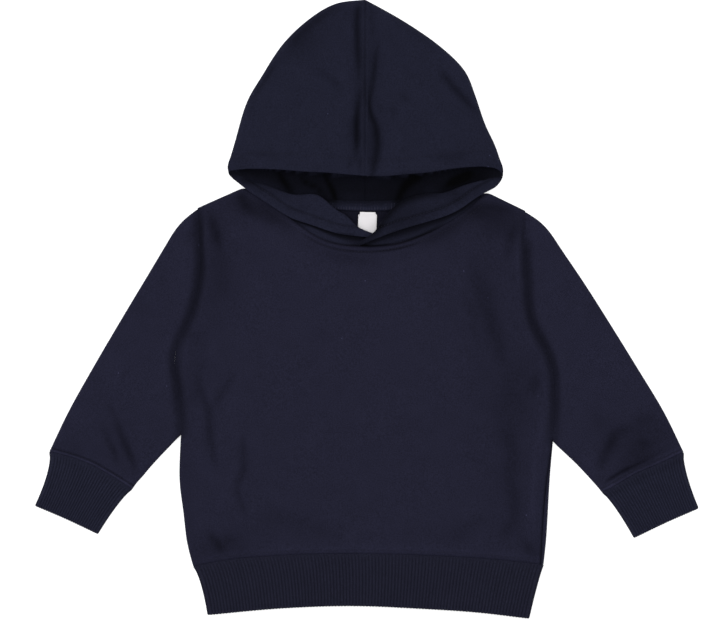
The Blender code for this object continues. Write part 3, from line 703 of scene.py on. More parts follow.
def body_sheets():
    """Front and back, which go round the body together and part at the side seams."""
    left, right = BODY_EDGES.values()
    places = {name: patch(curve(WAIST_SEAM), upper_edge(neckline), left, right)
              for name, neckline in (("front", FRONT_NECK), ("back", BACK_NECK))}
    height = np.linalg.norm(left(1.0) - left(0.0))
    shoulder_turns, end = np.radians((70, 50, 30, SEAM_TURN)), ROLL / height
    closer = 1 - (1 - np.linspace(0, 1, ARMHOLE_STEPS + 1)) ** CLOSER_TO_NECK
    stations = [*np.linspace(SEAM_GAP / height, UNDERARM, SIDE_STEPS + 1)[:-1],
                *(UNDERARM + end + (1 - 2 * end - UNDERARM) * closer)]
    turns = [math.pi / 2] * len(stations) + list(shoulder_turns)
    stations += [1 - ROLL * (1 - math.cos(t)) / height for t in shoulder_turns]
    gap = float(np.interp(math.radians(SEAM_TURN), TURNS, ROLL_LENGTHS))
    rows = {"front": [], "back": []}
    for v, turn in zip(stations, turns):
        opened, seam = (np.interp(v, BODY_KNOTS, column) for column in BODY.T[4:])
        width, inset, girth = flat_size(left(v), right(v), (1 - opened) * FLEECE)

        def point(name, along):
            share, lift = on_tube(along, width)
            lift = opened * (1 if name == "front" else -1) + (1 - opened) * lift
            share = inset + share * (1 - 2 * inset)
            if share < SHOULDER_SHARE[0] + 1e-6 or share > SHOULDER_SHARE[1] - 1e-6:
                lift *= math.sin(turn)
            return (*places[name](share, v), TUBE_MIDDLE + lift * ROLL_HEIGHT)

        neck_sides = [(share - inset) / (1 - 2 * inset) * width + ROLL_LENGTH - ROLL
                      for share in SHOULDER_SHARE]
        roll, far = np.linspace(gap, ROLL_LENGTH, 5), ROLL_LENGTH + seam
        across = [*np.linspace(ROLL_LENGTH, neck_sides[0], 7), *np.linspace(*neck_sides, NECK_STEPS + 1)[1:],
                  *np.linspace(neck_sides[1], girth - far, 7)[1:]]
        far_roll = np.linspace(girth - far, girth - seam - gap, 5)[1:]
        over = [*np.linspace(girth - seam + gap, girth + gap, 3)[:-1],
                *np.linspace(girth + gap, girth + ROLL_LENGTH, 5)]
        under = [*(beneath(a, width) for a in across[-2:0:-1]), *-roll[::-1]]
        rows["front"].append([point("front", a) for a in (*roll[:-1], *across, *far_roll)])
        rows["back"].append([point("back", a) for a in (*over, *under)])
    return [sheet("dressed_" + name, made) for name, made in rows.items()]


# %% [markdown]
# ## The hood
# Each half of the hood is one panel with the face opening's hem at one end and the centre seam at the
# other. Laid flat it lies double: the crown's upper layer runs from the brim to the outline, turns over
# there and comes back underneath to the neck. Below the face opening's corner the hem falls forward over
# the neckline like a lapel. Both parts are rows of sections from the same kind of table.

# %% Hood
def layer(edge, turn, edge_z, layer_z, turn_z, roll):
    """Points of one layer from its free edge to the line where it turns over, dense round the turn."""
    edge, turn = np.array(edge), np.array(turn)
    length = np.linalg.norm(turn - edge)
    roll = min(roll, ROLL_SHARE * length, (layer_z - turn_z) ** 2 / ROLL_RADIUS)
    to_roll = (turn - edge) * (1 - roll / length)
    flat = [(*(edge + to_roll * share), edge_z + (layer_z - edge_z) * ease(0, 1, share))
            for share in np.linspace(0, 1, LAYER_STEPS + 1)]
    return flat + [(*(turn - (turn - edge) * roll / length * (1 - math.cos(angle))),
                    turn_z + (layer_z - turn_z) * math.sin(angle)) for angle in np.radians((67, 45, 22, 0))]


def neckline_height(points):
    """Where the hood's edge lies above the body's neckline, over a place across."""
    line = drawn(points, NECK_STEPS + 1)

    def height(x):
        to_side = min(x - line[0, 0], line[-1, 0] - x) / NECK_SIDE_REACH
        return float(np.interp(x, *line.T)) + SEAM_GAP + NECK_SIDE_GAP * max(1 - to_side, 0.0)

    return height


def sections(kind, table, steps):
    """`steps` sections from a smooth curve through the table's rows."""
    at = smooth(np.arange(len(table)), table)
    return [kind(*at(where)) for where in np.linspace(0, len(table) - 1, steps)]


def hood_sheet(side):
    front_neck, back_neck = neckline_height(FRONT_NECK), neckline_height(BACK_NECK)
    opening, pull, neck_side = np.array(CORNERS[side])
    joint = [(1 - s) ** 2 * opening + 2 * s * (1 - s) * pull + s * s * neck_side
             for s in np.linspace(0, 1, LAYER_STEPS + 5)]
    below, above = [], [([opening] * len(joint), joint)]
    for row in sections(LapelSection, LAPELS[side], LAPEL_STEPS):
        middle, roll_line = (row.upper + row.lower) / 2, (row.roll_x, row.roll_y)
        out = layer((row.edge_x, row.edge_y), roll_line, row.edge_z, row.upper, middle, LAPEL_ROLL)
        home = layer((row.neck_x, front_neck(row.neck_x)), roll_line, row.neck_z, row.lower, middle,
                     LAPEL_ROLL)
        below.append((out, home[::-1]))
    below.append((joint, [neck_side] * len(joint)))
    brim = sections(BrimSection, BRIMS[side], BRIM_STEPS)
    centre = -SIDES[side] * CENTRE_LAP
    brim[-1] = brim[-1]._replace(edge_x=centre, outline_x=centre, neck_x=centre)
    for row in brim:
        outline = np.array((row.outline_x, row.outline_y))
        inward = np.array((row.edge_x, row.edge_y)) - outline
        turn = outline + inward / np.linalg.norm(inward) * FLEECE / 2
        middle = (row.upper + row.lower) / 2
        over = layer((row.edge_x, row.edge_y), turn, row.edge_z, row.upper, middle, CROWN_ROLL)
        under = layer((row.neck_x, back_neck(row.neck_x)), turn, row.lower, row.lower, middle, CROWN_ROLL)
        above.append((over, under[::-1]))
    grids = [[section[part] for section in half] for half in (below, above) for part in (0, 1)]
    if SIDES[side] < 0:
        grids = [[row[::-1] for row in rows] for rows in grids]
    return sheet("dressed_hood_" + side, *grids)


# %% [markdown]
# ## Node trees in a few lines
# Both the stitches' geometry and the cloth's colour come from node trees. A small helper adds a node,
# sets what it needs and hands back one of its outputs as a value that can be reckoned with, so that a
# tree reads from top to bottom like a recipe.

# %% A helper for node trees
class Value:
    """An output of a node. Reckoning with it adds math nodes to its tree."""

    def __init__(self, tree, socket):
        self.tree, self.socket = tree, socket

    def reckon(self, operation, *others):
        return self.tree.node("ShaderNodeMath", dict(enumerate((self, *others))), operation=operation)

    def __add__(self, other):
        return self.reckon("ADD", other)

    def __mul__(self, other):
        return self.reckon("MULTIPLY", other)

    def __truediv__(self, other):
        return self.reckon("DIVIDE", other)

    def __sub__(self, other):
        return self.reckon("SUBTRACT", other)

    def __rsub__(self, other):
        return self * -1.0 + other

    def __abs__(self):
        return self.reckon("ABSOLUTE")


class Tree:
    """Adds nodes to a tree and links them."""

    def __init__(self, tree):
        self.tree = tree

    def node(self, kind, inputs=(), out=0, **settings):
        """Adds a node with its inputs set or linked. `out` names one output, or several in a list."""
        made = self.tree.nodes.new(kind)
        for name, value in settings.items():
            setattr(made, name, value)
        for name, value in dict(inputs).items():
            self.give(made.inputs[name], value)
        found = [Value(self, made.outputs[name]) for name in (out if isinstance(out, list) else [out])]
        return found if isinstance(out, list) else found[0]

    def give(self, socket, value):
        if isinstance(value, Value):
            self.tree.links.new(value.socket, socket)
        else:
            socket.default_value = value

    def scaled(self, vector, by):
        return self.node("ShaderNodeVectorMath", {0: vector, "Scale": by}, operation="SCALE")

    def noise(self, place, scale, detail, **others):
        inputs = {"Vector": place, "Scale": scale, "Detail": detail, **others}
        return self.node("ShaderNodeTexNoise", inputs, "Fac")


def new_group(kind, name, inputs, outputs):
    """A node group with named sockets, (socket type, name, default value): its tree, what it is given, and
    the sockets of its result."""
    group = bpy.data.node_groups.new(name, kind)
    for way, sockets in (("INPUT", inputs), ("OUTPUT", outputs)):
        for socket_type, socket_name, *default in sockets:
            made = group.interface.new_socket(socket_name, in_out=way, socket_type="NodeSocket" + socket_type)
            if default:
                made.default_value = default[0]
    wires = Tree(group)
    names = [socket_name for _, socket_name, *_ in inputs]
    given = dict(zip(names, wires.node("NodeGroupInput", out=names)))
    return wires, given, group.nodes.new("NodeGroupOutput").inputs


def run_nodes(obj, group, **values):
    """Puts a Geometry Nodes group on an object, sets its named inputs and keeps the result as mesh."""
    modifier = obj.modifiers.new(group.name, "NODES")
    modifier.node_group = group
    for item in group.interface.items_tree:
        key = item.name.lower()
        if item.in_out == "INPUT" and key in values:
            modifier[item.identifier] = values[key]
    return settle(obj)


def finish(name, colour, pattern, **settings):
    """A material. `pattern(wires, place)` makes the tone that `colour` is multiplied by, and a relief with
    its depth in metres and its strength; `settings` are other inputs of the shader."""
    material = bpy.data.materials.new(name)
    material.use_nodes = True
    wires, shader = Tree(material.node_tree), material.node_tree.nodes["Principled BSDF"]
    tone, relief, depth, strength = pattern(wires, wires.node("ShaderNodeTexCoord", out="Object"))
    wires.give(shader.inputs["Base Color"], wires.scaled(colour, tone))
    wires.give(shader.inputs["Normal"], wires.node(
        "ShaderNodeBump", {"Height": relief, "Distance": depth, "Strength": strength}))
    for name, value in settings.items():
        shader.inputs[name.replace("_", " ")].default_value = value
    return material


# %% [markdown]
# ## The cloth's own finish
# Sweatshirt fleece shows the face of a jersey knit: fine columns of small V's, dyed nearly black with a
# slightly heathered tone, and a soft fuzz that catches light at a low angle. One shader group makes the
# knit's relief and tone for every piece. Each material sets its own colour, and turns the pattern so that
# the columns run along the piece.

# %% Knit and rib finish
COLUMN, COURSE = 1.15, 0.85         # mm from one column or course of knitted loops to the next
RIB_COLUMN = 0.72


def knit_group():
    wires, given, result = new_group(
        "ShaderNodeTree", "knit_face",
        [("Vector", "Vector"), ("Float", "Column", COLUMN), ("Float", "Course", COURSE),
         ("Float", "Mottle", 0.7), ("Float", "Lint", 1.0)],
        [("Float", "Tone"), ("Float", "Relief")])
    place = wires.scaled(given["Vector"], 1000.0)       # in millimetres
    wobble = wires.noise(place, 0.35, 1.0)
    x, y = wires.node("ShaderNodeSeparateXYZ", {0: place}, ["X", "Y"])
    side = abs((x / given["Column"] + wobble * 0.7).reckon("FRACT") - 0.5)
    loop = abs((y / given["Course"] + side * 1.3).reckon("FRACT") - 0.5)
    column = 1.0 - side * side * 4.0
    fuzz = wires.noise(place, 0.95, 4.0, Roughness=0.65)
    cloudy = wires.noise(place, 0.07, 2.0)
    mottle = (fuzz - 0.5) * 2.6 + (cloudy - 0.5) * 0.3
    distance, colour = wires.node("ShaderNodeTexVoronoi", {"Vector": place, "Scale": 0.09},
                                  ["Distance", "Color"], feature="F1")
    rare = wires.node("ShaderNodeSeparateColor", {0: colour}).reckon("GREATER_THAN", 0.8)
    lint = rare * distance.reckon("LESS_THAN", 0.05) * given["Lint"]
    wires.give(result["Tone"], (mottle * given["Mottle"] + 1.0 + lint).reckon("MAXIMUM", 0.15))
    wires.give(result["Relief"], column * 0.6 + loop + fuzz * 0.9)
    return wires.tree


KNIT = knit_group()


def cloth_finish(name, colour, turn=0.0, column=COLUMN, course=COURSE, mottle=0.72, lint=2.5):
    """A knit material whose columns run along y, turned by `turn` degrees."""
    def pattern(wires, place):
        turned = wires.node("ShaderNodeMapping", {"Vector": place, "Rotation": (0, 0, math.radians(turn))})
        knit = {"Vector": turned, "Column": column, "Course": course, "Mottle": mottle, "Lint": lint}
        tone, relief = wires.node("ShaderNodeGroup", knit, ["Tone", "Relief"], node_tree=KNIT)
        # the painted shade of the pieces darkens the knit's tone; below 0 it lightens it as a painted highlight
        hollow = wires.node("ShaderNodeAttribute", (), "Fac", attribute_name="hollow")
        return tone * (1.0 - hollow), relief, 0.00035, 0.7

    return finish(name, colour, pattern, Roughness=0.92, Specular_IOR_Level=0.05, Sheen_Weight=0.08,
                  Sheen_Roughness=0.45, Sheen_Tint=(0.10, 0.10, 0.17, 1.0))


FLEECE_NAVY, HOOD_NAVY = (0.0136, 0.0137, 0.0281), (0.0112, 0.0120, 0.0242)
RIB_NAVY, CUFF_NAVY = (0.0132, 0.0136, 0.0262), (0.0145, 0.0154, 0.0299)
body_fleece = cloth_finish("body_fleece", FLEECE_NAVY)
hood_fleece = cloth_finish("hood_fleece", HOOD_NAVY)
sleeve_fleece = {side: cloth_finish(side + "_sleeve_fleece", FLEECE_NAVY, turn)
                 for side, turn in (("left", -30), ("right", 30))}
rib_knit = cloth_finish("rib_knit", RIB_NAVY, 0.0, RIB_COLUMN, 0.8, 0.7, 0.2)
cuff_knit = {side: cloth_finish(side + "_cuff_knit", CUFF_NAVY, turn, RIB_COLUMN, COURSE, 0.7, 0.2)
             for side, turn in (("left", -31), ("right", 32))}

# %% [markdown]
# ## Front and back
# The front blouses a little over the waistband, dips into the neck and armhole seams, and has the long
# soft folds of a garment that was worn and then smoothed out by hand.

# %% Folds of the body
FRONT_FOLDS = (
    # down the right of the chest
    ((90, 330, 14, 0), (97, 314, 18, -0.5), (105, 292, 22, -0.8), (110, 276, 21, -0.9), (117, 255, 16, -1),
     (121, 240, 14, -0.9), (125, 220, 12, 0)),
    ((88, 296, 8, 0), (94, 280, 9, -0.4), (99, 258, 8, -0.5), (103, 238, 7, 0)),
    # at the right shoulder
    ((138, 358, 10, 0), (133, 343, 11, -1.1), (129, 328, 11, -0.8), (125, 313, 9, 0)),
    ((137, 313, 6, 0), (135, 303, 7, -0.5), (134, 293, 6, 0)),
    ((137, 334, 4, 0), (137.5, 320, 4.5, 0.5), (137, 305, 4.5, 0.5), (137, 294, 4, 0)),
    # slack cloth under the right arm
    ((156, 246, 22, 0), (143, 225, 36, -0.45), (135, 200, 38, -0.6), (127, 165, 28, -0.5), (125, 148, 20, 0)),
    ((157, 224, 9, 0), (153, 208, 12, -1), (147, 195, 11, 0)),
    # down the right side to the waistband
    ((126, 171, 12, 0), (132, 152, 15, -0.8), (133, 138, 18, -0.8), (131, 122, 16, -0.8),
     (134.5, 105, 13, -1), (134, 88, 13, -0.8), (127, 75, 14, -0.7), (119, 63, 10, 0)),
    ((137, 73, 8, 0), (146, 62, 11, -0.8), (155, 51, 8, 0)),
    ((162, 203, 8, 0), (158, 170, 9, 0.4), (152.5, 125, 9, 0.8), (151, 95, 9, 0.8), (150, 70, 8, 0)),
    ((154.5, 170, 2.4, 0), (155.5, 150, 2.4, -0.3), (153, 105, 2.4, -0.3), (151.5, 85, 2.4, 0)),
    ((62, 63, 12, 0), (80, 72, 22, -0.5), (95, 81, 17, -0.5), (109, 91, 10, 0)),
    # under the left arm
    ((-147, 246, 16, 0), (-149, 225, 20, -0.5), (-152, 203, 19, -0.5), (-155, 183, 12, 0)),
    ((-153, 224, 7, 0), (-147, 201, 9, -1), (-141, 184, 9, -1.4), (-139, 161, 9, -1.3),
     (-135.5, 141, 8, -0.8), (-133, 128, 8, 0)),
    ((-116, 223, 8, 0), (-122, 211, 9, -0.8), (-131, 197, 9, -1), (-139, 182, 8, 0)),
    ((-108, 167, 7, 0), (-110, 155, 8, -0.9), (-109, 133, 8, -1.3), (-115, 113, 8, -1),
     (-109.5, 97, 7, -0.8), (-106, 85, 7, 0)),
    # at the waistband on the left
    ((-145, 80, 7, 0), (-137, 70, 9, -1.1), (-130, 61, 9, -1.2), (-125, 53, 7, 0)),
    ((-134, 66, 8, 0), (-122, 69, 9, -0.7), (-109, 72, 8, 0)),
    ((-104, 98, 14, 0), (-86, 91, 20, -0.4), (-60, 85, 22, -0.45), (-36, 75, 20, -0.35), (-15, 66, 12, 0)),
    # at the left shoulder
    ((-141, 366, 8, 0), (-137, 354, 10, -1.2), (-133, 340, 10, -1.4), (-130, 325, 8, 0)),
    ((-132, 333, 13, 0), (-128, 315, 18, -0.45), (-126, 296, 16, -0.4), (-125, 280, 11, 0)),
    ((-143, 359, 5, 0), (-143.5, 345, 6, 0.7), (-143, 330, 6, 0.5), (-143, 314, 5, 0)),
    ((-124, 352, 13, 0), (-114, 347, 16, 0.25), (-104, 343, 13, 0)),
    # below the neck
    ((-40, 328, 10, 0), (-20, 322, 14, -0.6), (2, 319, 13, -0.4), (13, 318, 9, 0)),
)
# broad shade where the cloth slopes away: the last column is a share of darkness here
FRONT_SHADE = (
    ((104, 372, 50, 0), (114, 345, 56, 0.13), (112, 300, 58, 0.1), (116, 250, 60, 0.12),
     (128, 205, 62, 0.11), (131, 150, 58, 0.1), (131, 105, 56, 0.11), (122, 62, 50, 0.05)),
    ((84, 376, 14, 0), (102, 367, 30, 0.34), (122, 359, 32, 0.34), (146, 352, 22, 0.16), (152, 350, 10, 0)),
    ((84, 356, 6, 0), (96, 365, 9, 0.16), (111, 368, 9, 0.2), (125, 366, 8, 0.18), (139, 361, 6, 0)),
    ((92, 354, 5, 0), (104, 360, 6, 0.12), (120, 358, 6, 0)),
    ((147.3, 362, 2.2, 0), (147.3, 354, 2.2, 0.25), (148, 340, 2.2, 0.22), (148, 332, 2.2, 0)),
    ((142.5, 353, 2.4, 0), (142, 343, 2.6, 0.22), (141.5, 330, 2.4, 0)),
    ((-140, 374, 30, 0.1), (-137, 350, 40, 0.22), (-134, 310, 40, 0.16), (-136, 270, 34, 0.13),
     (-142, 238, 28, 0)),
    ((-122, 382, 12, 0), (-99, 369, 22, 0.24), (-80, 355, 18, 0.16), (-62, 341, 14, 0)),
    ((-114, 386, 7, 0), (-111, 378, 12, 0.42), (-106, 368, 13, 0.42), (-92, 359, 9, 0.12), (-80, 353, 7, 0)),
    ((-134, 378, 12, 0), (-122, 372, 20, 0.22), (-112, 358, 16, 0.1), (-104, 346, 12, 0)),
    ((-104, 378, 8, 0), (-92, 369, 12, 0.26), (-80, 360, 14, 0.32), (-68, 351, 10, 0.18), (-58, 343, 8, 0)),
    ((40, 332, 8, 0), (60, 340.5, 11, 0.28), (80, 353, 13, 0.36), (97, 366, 12, 0.16), (108, 376, 8, 0)),
    ((-76, 346, 12, 0), (-52, 335, 18, 0.12), (-20, 325, 24, 0.1), (16, 325, 22, 0.09), (48, 335, 20, 0.12),
     (80, 345, 24, 0.14), (104, 352, 16, 0)),
    ((-150, 74, 22, 0), (-110, 76, 32, 0.07), (-60, 76, 30, 0.05), (0, 74, 24, 0), (60, 76, 26, 0.05),
     (112, 74, 24, 0)),
    ((-158, 240, 16, 0), (-160, 200, 22, 0.07), (-162, 130, 20, 0.07), (-156, 60, 18, 0.08),
     (-152, 46, 10, 0)),
    ((156, 72, 12, 0), (152, 58, 20, 0.22), (144, 46, 14, 0)),
    ((-154, 52, 14, 0.1), (-138, 60, 24, 0.24), (-112, 60, 18, 0.2), (-92, 58, 14, 0)),
    ((-160, 262, 14, 0), (-152, 250, 24, 0.14), (-146, 236, 14, 0)),
)
# on the side that lies on the table, plus lifts the cloth off it
BACK_FOLDS = (
    ((-120, 336, 14, 0), (-108, 296, 20, 0.9), (-98, 246, 22, 1.1), (-86, 200, 16, 0)),
    ((108, 318, 12, 0), (95, 270, 18, 0.9), (90, 222, 20, 0.8), (98, 176, 14, 0)),
    ((-34, 158, 12, 0), (-16, 124, 18, 0.9), (-4, 96, 18, 0.8), (14, 70, 12, 0)),
    ((58, 134, 10, 0), (75, 100, 15, 0.8), (106, 74, 10, 0)),
    ((-150, 238, 10, 0), (-143, 206, 14, 1), (-132, 176, 10, 0)),
    ((154, 226, 10, 0), (147, 192, 15, 1.1), (134, 160, 11, 0)),
    ((-142, 92, 9, 0), (-131, 72, 12, 0.9), (-122, 56, 9, 0)),
    ((-62, 352, 12, 0), (-22, 343, 18, 0.7), (30, 346, 16, 0.6), (66, 354, 10, 0)),
)
# the neck seam and the row of stitches below it, as thin lines of shade
NECK_LINES = (
    ((-74, 361, 2, 0), (-60, 352, 2.2, 0.3), (-40, 339.4, 2.4, 0.4), (-20, 334, 2.4, 0.46),
     (0, 332.9, 2.4, 0.5), (10, 333.2, 2.5, 0.56), (25, 334.2, 2.6, 0.66), (40, 338.2, 2.6, 0.66),
     (60, 347, 3.2, 0.5), (76, 357, 3, 0)),
    ((-58, 345.6, 2, 0), (-50, 340, 2.2, 0.26), (-31, 331.6, 2.2, 0.36), (-12, 328.4, 2.2, 0.42),
     (6, 327.9, 2.2, 0.4), (25, 329.9, 2.2, 0.6), (42, 334, 2.2, 0.46), (54, 338.4, 2, 0)),
)
# how much painted shade the valley of the armhole seam gets, at shares of its length from the shoulder down
ARMHOLE_SHADE = {
    "left": ((0, 0.26), (0.06, 0.46), (0.25, 0.54), (0.45, 0.52), (0.62, 0.4), (0.74, 0.54), (0.9, 0.4),
             (1, 0.3)),
    "right": ((0, 0.08), (0.1, 0.16), (0.16, 0.48), (0.45, 0.52), (0.75, 0.5), (0.9, 0.42), (1, 0.3)),
}
ARMHOLE_MIDDLE = {"left": 0.5, "right": 0.0}        # mm from the seam into the sleeve
ARMHOLE_REACH = 5.2
INSIDE_SHADE = 0.58     # inside the neck
waist_line, front_neck_line, back_neck_line = drawn(WAIST_SEAM), drawn(FRONT_NECK), drawn(BACK_NECK)
side_seam = drawn(SIDE_SEAM, 40)
armholes = {side: armhole(side, np.linspace(0, 1, 41)) for side in SIDES}


# %% Shade of the body
def armhole_shade(x, y, side):
    """Painted shade in the valley that the armhole seam lies in, uneven along its length."""
    share, away = along_line(x, y, armholes[side])
    depth = np.interp(share, *np.array(ARMHOLE_SHADE[side]).T)
    from_middle = SIDES[side] * away - ARMHOLE_MIDDLE[side]
    return depth * np.exp(-(abs(from_middle) / ARMHOLE_REACH) ** 3.4)


def shade_below(x, y, folds, sides=tuple(SIDES)):
    """Painted shade on the side that lies on the table: in its folds and along its armhole seams."""
    return SHADE_PER_MM * spread(x, y, folds) + 0.7 * sum(armhole_shade(x, y, side) for side in sides)


# painted shade of front and back: in the folds and where the cloth slopes away, in the armhole valleys, along the neck
# seam and its stitching, along the side seam's fold and inside the neck; a thin painted shade on the waist seam with
# painted highlights just above it; on the underside the painted shade of its folds and seams
def body_painted_shade(obj):
    x, y, z = garment_points(obj).T
    neck, waist, edge = (from_line(x, y, line) for line in (front_neck_line, waist_line, side_seam))
    amount = (spread(x, y, FRONT_SHADE) - SHADE_PER_MM * fold_heights(x, y, FRONT_FOLDS)
              + sum(armhole_shade(x, y, side) for side in SIDES)
              + spread(x, y, NECK_LINES) + 0.15 * stripe(neck, 0.0, 2.0)
              + 0.10 * stripe(waist, -0.4, 1.6) - 0.24 * stripe(waist, 1.1, 1.8)
              - 0.11 * stripe(waist, 4.4, 5.0) + 0.45 * stripe(edge, 0.0, 2.8))
    up = facing_up(obj)
    inside = (1 - ease(2.2, 3.2, z)) * ease(331, 336, y) * ease(108, 98, abs(x)) * up
    low = ease(3.4, 2.4, z) * (1 - up) * (shade_below(x, y, BACK_FOLDS) + 0.35 * stripe(waist, 0.0, 3.0))
    keep_painted_shade(obj, np.where(inside > 0, INSIDE_SHADE * inside, ease(2.5, 4.0, z) * amount) + low)


# %% Front and back
front, back = body_sheets()
refine(front)
refine(back)
press(front, LAYER_ABOVE, FRONT_FOLDS, (
    (waist_line, 5.5, 9.0, 0.6), (waist_line, 0.0, 4.0, -0.6),
    (front_neck_line, 0.0, 4.0, -0.4), (front_neck_line, -5.2, 3.0, -0.25),
    *((armholes[side], 0.0, 9.0, -0.8) for side in SIDES),
    *((armholes[side], -9.0 * outward, 6.0, 0.3) for side, outward in SIDES.items())))
press_below(back, BACK_FOLDS)
for obj in (front, back):
    body_painted_shade(thicken(obj))
    wear(obj, body_fleece)
print("front and back:", len(front.data.polygons), len(back.data.polygons), "faces")

# %% [markdown]
# ## Sleeves
# Each sleeve is one tube. Its seam allowance is turned towards the body, so the sleeve drops into a soft
# valley beside the armhole. Near the cuff, where the tube narrows into the rib, it buckles a little.

# %% Folds of the sleeves
SLEEVE_FOLDS = {
    "left": (
        ((-227, 186, 6, 0), (-221, 168, 8, -1.1), (-216, 155, 8.5, -1.5), (-211, 143, 8.5, -1.6),
         (-207, 133, 7, -0.9), (-205, 125, 6, 0)),
        ((-239, 177, 6, 0), (-232, 160, 7, -0.8), (-226, 148, 7, -1.1), (-221, 132, 6, 0)),
        ((-231, 194, 6, 0), (-228, 186, 7, -0.6), (-226, 179, 6, 0)),
        ((-154, 352, 6, 0), (-157, 343, 8, -0.9), (-161, 332, 6, 0)),
        ((-219, 124, 6, 0), (-214, 120.5, 8, 1.1), (-209, 117, 6, 0)),
        ((-196, 186, 12, 0), (-184, 172, 22, -0.3), (-172, 158, 12, 0)),
        ((-207, 304, 14, 0), (-200, 278, 24, -0.3), (-190, 250, 14, 0)),
    ),
    "right": (
        ((243, 172, 9, 0), (236, 168, 12, -0.8), (228, 165, 13, -1.2), (221, 155, 13, -1.5),
         (214, 140, 12, -1.4), (210, 128, 9, 0)),
        ((213, 117, 3, 0), (222, 124, 4.2, -1.5), (233, 130.5, 4.4, -1.6), (244, 135.5, 4.2, -1.2),
         (254, 140.5, 4, -0.6), (265, 146.5, 3.5, -0.3), (279, 152, 3, 0)),
        ((241, 155, 7, 0), (251, 155.5, 9, -0.7), (263, 153, 7, 0)),
        ((238, 171, 9, 0), (250, 176, 12, -0.6), (264, 181, 9, 0)),
        ((216, 117, 5, 0), (220, 116, 7, 0.9), (226, 121, 5, 0)),
        ((214, 304, 14, 0), (209, 276, 24, -0.3), (201, 248, 14, 0)),
    ),
}
SLEEVE_SHADE = {
    "left": (
        ((-240, 200, 20, 0), (-228, 172, 36, 0.08), (-222, 144, 32, 0.12), (-214, 122, 14, 0.05)),
        ((-270, 166, 12, 0), (-262, 150, 20, 0.14), (-254, 138, 12, 0)),
    ),
    "right": (
        ((272, 200, 24, 0), (262, 172, 46, 0.2), (246, 144, 44, 0.36), (232, 122, 26, 0.2)),
        ((206, 196, 14, 0), (212, 176, 22, 0.14), (222, 156, 18, 0.1), (230, 140, 10, 0)),
    ),
}
SLEEVE_BACK_FOLDS = {
    "left": (
        ((-238, 178, 8, 0), (-230, 160, 11, 0.9), (-221, 140, 10, 0)),
        ((-214, 290, 12, 0), (-202, 262, 18, 0.7), (-194, 236, 12, 0)),
        ((-190, 184, 9, 0), (-180, 170, 13, 0.8), (-172, 158, 9, 0)),
    ),
    "right": (
        ((244, 174, 9, 0), (232, 160, 12, 1), (220, 144, 9, 0)),
        ((208, 300, 12, 0), (199, 268, 17, 0.6), (194, 244, 11, 0)),
        ((196, 176, 9, 0), (186, 164, 12, 0.8), (178, 152, 9, 0)),
    ),
}
# ridges and dips beside a cuff's seam: (distance into the sleeve, width, height, share of painted shade,
# below 0 a painted highlight)
CUFF_SEAM = {
    "left": ((1.5, 2.0, 0.45, -0.30), (3.2, 2.0, -0.5, 0.46), (-0.2, 1.4, -0.1, 0.20)),
    "right": ((1.5, 2.2, 0.45, -0.40), (5.0, 3.2, 0.30, -0.12), (3.2, 1.6, -0.1, 0.06),
              (-0.2, 1.4, -0.1, 0.16)),
}
cuff_lines = {side: drawn(CUFFS[side][0], 50) for side in SIDES}

# %% Sleeves
sleeves = {}
for side, outward in SIDES.items():
    sleeve = refine(tube_sheet("dressed_sleeve_" + side, sleeve_place(side), FLEECE))
    press(sleeve, LAYER_ABOVE, SLEEVE_FOLDS[side], (
        (armholes[side], 0.0, 11.0, -1.0), (armholes[side], 10.0 * outward, 7.0, 0.3),
        (cuff_lines[side], 0.0, 2.5, -0.3),
        *((cuff_lines[side], -outward * into, width, height) for into, width, height, _ in CUFF_SEAM[side])))
    press_below(sleeve, SLEEVE_BACK_FOLDS[side])
    x, y, z = garment_points(thicken(sleeve)).T
    away = from_line(x, y, cuff_lines[side])
    # painted shade of the sleeve: its armhole valley, its folds, and the dips beside the cuff seam, with painted
    # highlights on the ridges there; on the underside the painted shade of its folds, armhole and seam
    amount = (armhole_shade(x, y, side) + spread(x, y, SLEEVE_SHADE[side])
              - SHADE_PER_MM * fold_heights(x, y, SLEEVE_FOLDS[side])
              + sum(dark * stripe(-outward * away, into, width) for into, width, _, dark in CUFF_SEAM[side]))
    low = shade_below(x, y, SLEEVE_BACK_FOLDS[side], [side]) + 0.35 * stripe(away, 0.0, 3.0)
    keep_painted_shade(sleeve, ease(2.2, 3.6, z) * amount + ease(3.2, 2.2, z) * (1 - facing_up(sleeve)) * low)
    wear(sleeve, sleeve_fleece[side])
    sleeves[side] = sleeve
print("sleeves:", [len(s.data.polygons) for s in sleeves.values()], "faces")

# %% [markdown]
# ## Hood
# The two halves meet in the centre seam, whose allowance lies in a low ridge with a trough on each side.
# The crown's cloth has relaxed into a few slanting dents. Deep under the brim almost no light arrives.

